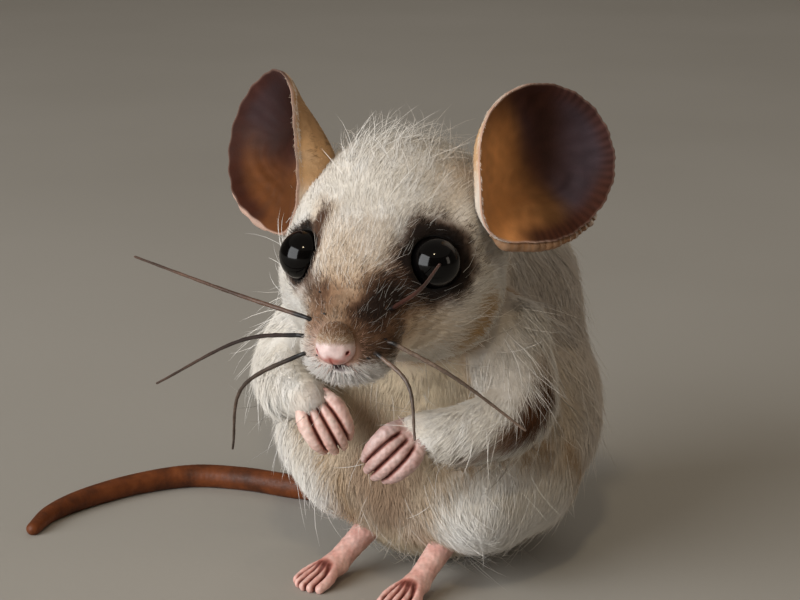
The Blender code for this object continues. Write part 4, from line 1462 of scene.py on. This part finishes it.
def make_whisker(name, material):
    """A twisted waxed strand, black where it is knotted into the muzzle."""
    route, root = whisker_route(name)
    radii = np.interp(np.linspace(0, 1, len(route)), (0, 0.3, 1), (WHISKER_R[0], *WHISKER_R))

    def twisted(step, turn):
        return 1 + 0.13 * np.abs(np.cos(turn - step * 0.32)) + 0.03 * np.sin(3 * turn + step)

    def strand_tint(points):
        far = np.linalg.norm(points - root, axis=1)
        dark = 0.9 if name == "whisker_right_middle" else 0.0
        black = 2.4 if "right" in name else 0.8
        streaky = 1 + 0.35 * waves(points, 3.0, len(name))
        return layered(
            array(WHISKER_COLOURS[name]) * streaky[:, None],
            (STRAND_DARK, smooth(20, 9, far) * dark),
            (STRAND_BLACK, smooth(black, black * 0.4, far)),
        )

    tube = np.column_stack([route, radii])
    whisker = make_tube(f"waxed_{name}", tube, 14, twisted, strand_tint)
    finish_piece(whisker, material, "strand", name)


def make_knots(material):
    """Black stitches where the whiskers are tied in, and a few between them."""
    chance = np.random.default_rng(SEED + 9)
    roots = [whisker_route(name)[1] for name in WHISKERS]
    places = np.vstack([roots, from_head(array(KNOT_DOTS))])
    for _ in range(3):
        gradient = slope(body_field, places)
        steepness = (gradient**2).sum(axis=1)[:, None]
        places -= gradient * (body_field(places) - 0.12)[:, None] / steepness
    sizes = [*np.full(len(roots), 0.2), *chance.uniform(0.1, 0.16, len(KNOT_DOTS))]
    normals = unit(slope(body_field, places))
    rings, turns = 7, 12
    down = np.linspace(0.02, math.pi - 0.02, rings)
    p, a = np.meshgrid(down, np.arange(turns) * 2 * math.pi / turns, indexing="ij")
    ball = ball_points(p, a).reshape(-1, 3)
    fan = np.stack([np.zeros(turns - 2, int), np.arange(1, turns - 1), np.arange(2, turns)], axis=1)
    tris = np.vstack([ring_faces(rings, turns), fan, fan[:, ::-1] + (rings - 1) * turns])
    points, faces = [], []
    for place, size, normal in zip(places, sizes, normals):
        side = unit(np.cross(normal, (0.2, 0.1, 1)))
        axes = np.column_stack([side * 1.5, np.cross(normal, side) * 0.8, normal * 0.8])
        lumpy = ball * (1 + 0.12 * waves(ball * 2, 1.0, int(size * 1000)))[:, None]
        faces.append(tris + len(points) * len(ball))
        points.append(place + lumpy @ axes.T * size)
    black = np.tile(array(KNOT_BLACK), (len(points) * len(ball), 1))
    knots = make_mesh("whisker_knots", np.vstack(points), np.vstack(faces), black)
    finish_piece(knots, material, "strand")


def make_tail(material):
    """A tapered cord, pressed flat where it lies on the floor."""
    route = smooth_route(np.column_stack([TAIL_ROUTE, TAIL_R]), 420)

    def ringed(step, turn):
        rings = 0.004 * np.sin(step * 1.1 + 0.6 * np.sin(turn))
        return 1 + rings + 0.014 * np.sin(2 * turn + step * 0.05)

    tail = make_tube("leather_tail", route, 32, ringed)
    for vertex in tail.data.vertices:
        vertex.co.z = max(vertex.co.z, 0.02 * MM)
    tail.data.update()
    finish_piece(tail, material, "tail_leather", "tail_root", "tail_middle", "tail_tip")


SHADER = "Principled BSDF"


def new_material(name, values):
    """A material with constant values on its shader's own sockets, and its node tree."""
    material = bpy.data.materials.new(name)
    material.use_nodes = True
    tree = material.node_tree
    for socket, value in values.items():
        tree.nodes[SHADER].inputs[socket].default_value = value
    return material, tree


def to_shader(tree, source, socket):
    tree.links.new(source, tree.nodes[SHADER].inputs[socket])


def noise(tree, size, detail=3.0, roughness=0.5, stretch=None):
    """A noise texture on the object's own shape, with features of size metres."""
    texture = tree.nodes.new("ShaderNodeTexNoise")
    texture.inputs["Scale"].default_value = 1 / size
    texture.inputs["Detail"].default_value = detail
    texture.inputs["Roughness"].default_value = roughness
    source = tree.nodes.new("ShaderNodeTexCoord").outputs["Object"]
    if stretch is not None:
        mapping = tree.nodes.new("ShaderNodeMapping")
        mapping.inputs["Scale"].default_value = stretch
        tree.links.new(source, mapping.inputs["Vector"])
        source = mapping.outputs["Vector"]
    tree.links.new(source, texture.inputs["Vector"])
    return texture.outputs["Fac"]


def ramp(tree, source, *stops):
    """A colour ramp from (place, colour) pairs, where one number is a grey."""
    node = tree.nodes.new("ShaderNodeValToRGB")
    elements = node.color_ramp.elements
    while len(elements) < len(stops):
        elements.new(0.5)
    for element, (place, colour) in zip(elements, stops):
        element.position = place
        element.color = (*np.broadcast_to(colour, 3), 1)
    tree.links.new(source, node.inputs["Fac"])
    return node.outputs["Color"]


def tint_colour(tree, factor):
    """The mesh's own colour, multiplied by a procedural variation."""
    own = tree.nodes.new("ShaderNodeAttribute")
    own.attribute_name = "tint"
    blend = tree.nodes.new("ShaderNodeMix")
    blend.data_type = "RGBA"
    blend.blend_type = "MULTIPLY"
    blend.inputs["Factor"].default_value = 1
    tree.links.new(own.outputs["Color"], blend.inputs["A"])
    tree.links.new(factor, blend.inputs["B"])
    to_shader(tree, blend.outputs["Result"], "Base Color")


def add_bumps(tree, *layers):
    """Bumps from (source, strength, distance in metres), each on top of the one before."""
    normal = None
    for source, strength, distance in layers:
        bump = tree.nodes.new("ShaderNodeBump")
        bump.inputs["Strength"].default_value = strength
        bump.inputs["Distance"].default_value = distance
        tree.links.new(source, bump.inputs["Height"])
        if normal is not None:
            tree.links.new(normal, bump.inputs["Normal"])
        normal = bump.outputs["Normal"]
    to_shader(tree, normal, "Normal")


def felt_material(name, sheen, specular, bumpy=False):
    """Wool: matt, soft at grazing light, with fine fibres in the bump of the bare felt."""
    values = {
        "Roughness": 0.85,
        "Specular IOR Level": specular,
        "Sheen Weight": sheen,
        "Sheen Roughness": 0.5,
        "Sheen Tint": (1, 0.96, 0.9, 1),
    }
    material, tree = new_material(name, values)
    fibres = noise(tree, 0.00035, 5, 0.6)
    tint_colour(tree, ramp(tree, fibres, (0.3, 0.96), (0.7, 1.03)))
    if bumpy:
        add_bumps(tree, (noise(tree, 0.0016, 3), 0.35, 0.0003), (fibres, 0.5, 0.00012))
    return material


def leather_material():
    """Thin waxed leather: grain, small creases and an uneven shine."""
    values = {
        "Specular IOR Level": 0.1,
        "Sheen Weight": 0.05,
        "Sheen Roughness": 0.4,
        "Sheen Tint": (0.85, 0.8, 0.95, 1),
    }
    material, tree = new_material("ear_leather", values)
    patches = noise(tree, 0.0022, 4, 0.6)
    grain = noise(tree, 0.00022, 4, 0.65)
    tint_colour(tree, ramp(tree, patches, (0.25, 0.84), (0.75, (1.12, 1.08, 1.06))))
    add_bumps(tree, (patches, 0.4, 0.0002), (grain, 0.35, 0.00006))
    to_shader(tree, ramp(tree, patches, (0.3, 0.55), (0.7, 0.72)), "Roughness")
    return material


def glass_material():
    """A black glass bead, with the faintest brown depth and a polished surface."""
    material, tree = new_material("glass_bead", {"Roughness": 0.09, "IOR": 1.33})
    stops = ((0.35, (0.0008, 0.0007, 0.0008)), (0.75, (0.002, 0.0015, 0.0015)))
    to_shader(tree, ramp(tree, noise(tree, 0.002, 2), *stops), "Base Color")
    return material


def clay_material(name, roughness, coat):
    """Painted polymer clay: skin-like wrinkles, soft shine."""
    values = {
        "Roughness": roughness,
        "Coat Weight": coat,
        "Coat Roughness": 0.25,
        "Subsurface Weight": 0.08,
        "Subsurface Radius": (0.0008, 0.0004, 0.0003),
    }
    material, tree = new_material(name, values)
    mottle = noise(tree, 0.0006, 4, 0.6)
    wrinkles = noise(tree, 0.00018, 3, 0.6, (1, 1, 2.2))
    tint_colour(tree, ramp(tree, mottle, (0.3, (0.88, 0.82, 0.80)), (0.7, 1.06)))
    add_bumps(tree, (mottle, 0.25, 0.0001), (wrinkles, 0.35, 0.00005))
    return material


def tail_material():
    """Rust-brown waxed cord: darker patches, fine grain and an uneven shine."""
    material, tree = new_material("tail_leather", {"Specular IOR Level": 0.3})
    patches = noise(tree, 0.003, 4, 0.6)
    grain = noise(tree, 0.0003, 4, 0.65)
    stops = (
        (0.3, (0.062, 0.017, 0.005)),
        (0.55, (0.155, 0.040, 0.009)),
        (0.8, (0.24, 0.069, 0.018)),
    )
    to_shader(tree, ramp(tree, patches, *stops), "Base Color")
    add_bumps(tree, (patches, 0.3, 0.0002), (grain, 0.45, 0.00008))
    to_shader(tree, ramp(tree, grain, (0.3, 0.42), (0.7, 0.62)), "Roughness")
    return material


def whisker_material():
    """Waxed horsehair cord: brown with dark stretches and streaks along it."""
    material, tree = new_material("waxed_strand", {"Roughness": 0.42})
    streaks = noise(tree, 0.0003, 4, 0.6)
    tint_colour(tree, ramp(tree, streaks, (0.3, 0.6), (0.7, 1.2)))
    add_bumps(tree, (streaks, 0.4, 0.00005))
    return material


def floor_material():
    """Matt pale plaster, a little cloudy."""
    material, tree = new_material("pale_floor", {"Roughness": 0.9})
    stops = ((0.3, (0.365, 0.345, 0.31)), (0.7, (0.40, 0.38, 0.345)))
    to_shader(tree, ramp(tree, noise(tree, 0.12, 3), *stops), "Base Color")
    add_bumps(tree, (noise(tree, 0.0012, 4), 0.08, 0.0002))
    return material


def place_at(name, data, stand, aim):
    """Puts a camera or a light at its stand, turned to its aim."""
    around, above, far = stand
    a, e = math.radians(around), math.radians(above)
    offset = array((math.sin(a) * math.cos(e), -math.cos(a) * math.cos(e), math.sin(e))) * far
    made = bpy.data.objects.new(name, data)
    bpy.context.scene.collection.objects.link(made)
    made.location = array(CAMERA_AIM) + offset
    made.rotation_euler = (made.location - Vector(aim)).to_track_quat("Z", "Y").to_euler()
    return made


def make_camera():
    data = bpy.data.cameras.new("camera")
    data.lens = CAMERA_LENS
    data.sensor_width = 36
    data.clip_start = 0.005
    bpy.context.scene.camera = place_at("camera", data, CAMERA_STAND, CAMERA_AIM)


def make_lights():
    """Soft rectangles of light, and a weak warm light from all round."""
    for name, (stand, size, watts, colour) in LIGHTS.items():
        data = bpy.data.lights.new(name, "AREA")
        data.shape = "RECTANGLE"
        data.size, data.size_y = size
        data.energy = watts
        data.color = colour
        light = place_at(name, data, stand, LIGHT_AIM)
        light.visible_glossy = name != "rim"
    world = bpy.data.worlds.new("studio")
    world.use_nodes = True
    back = world.node_tree.nodes["Background"]
    back.inputs["Color"].default_value = WORLD_COLOUR
    back.inputs["Strength"].default_value = WORLD_STRENGTH
    bpy.context.scene.world = world
    bpy.context.scene.view_settings.view_transform = "Standard"


def make_floor():
    """A round floor whose edge rises to close the view."""
    turn = np.arange(FLOOR_TURNS) * 2 * math.pi / FLOOR_TURNS
    points = [
        (radius * math.cos(t), radius * math.sin(t), height) for radius, height in FLOOR_RINGS for t in turn
    ]
    middle = cap_faces(len(points), 0, FLOOR_TURNS)
    tris = np.vstack([ring_faces(len(FLOOR_RINGS), FLOOR_TURNS), middle])
    floor = make_mesh("floor", array([*points, (0, 0, 0)]) / MM, tris)
    floor.data.materials.append(floor_material())


def make_skin():
    """The felted skin for the whole body, with its coats."""
    felt = felt_material("felt_skin", 0.08, 0.1, bumpy=True)
    wool = felt_material("wool_coat", 0.1, 0.12)
    points, quads = surface_net(body_field, *SKIN_BOX, SKIN_STEP)
    normals = unit(slope(body_field, points))
    # The bare felt is a tenth darker than its marks: painted shade under the coat.
    skin = make_mesh("felt_skin", points, quads, marks(points, normals) * 0.9)
    limbs = [f"{limb}_{side}" for limb in ("arm", "thigh") for side in SIDES]
    finish_piece(skin, felt, "felt", "torso", "head", *limbs)
    for dress in (dress_down, dress_body, dress_wisps, dress_strands):
        dress((points, quads, normals), wool)
    return wool


def main():
    make_camera()
    make_floor()
    make_lights()
    wool = make_skin()
    plush = felt_material("ear_plush", 0.12, 0.1)
    leather = leather_material()
    glass = glass_material()
    clay = clay_material("clay_paws", 0.5, 0.15)
    for side in SIDES:
        make_ear(side, leather, plush)
        make_eye(side, glass)
        make_hand(side, clay)
        make_foot(side, clay)
    make_nose(clay_material("clay_nose", 0.32, 0.5), wool)
    strand = whisker_material()
    for name in WHISKERS:
        make_whisker(name, strand)
    make_knots(strand)
    make_tail(tail_material())


main()
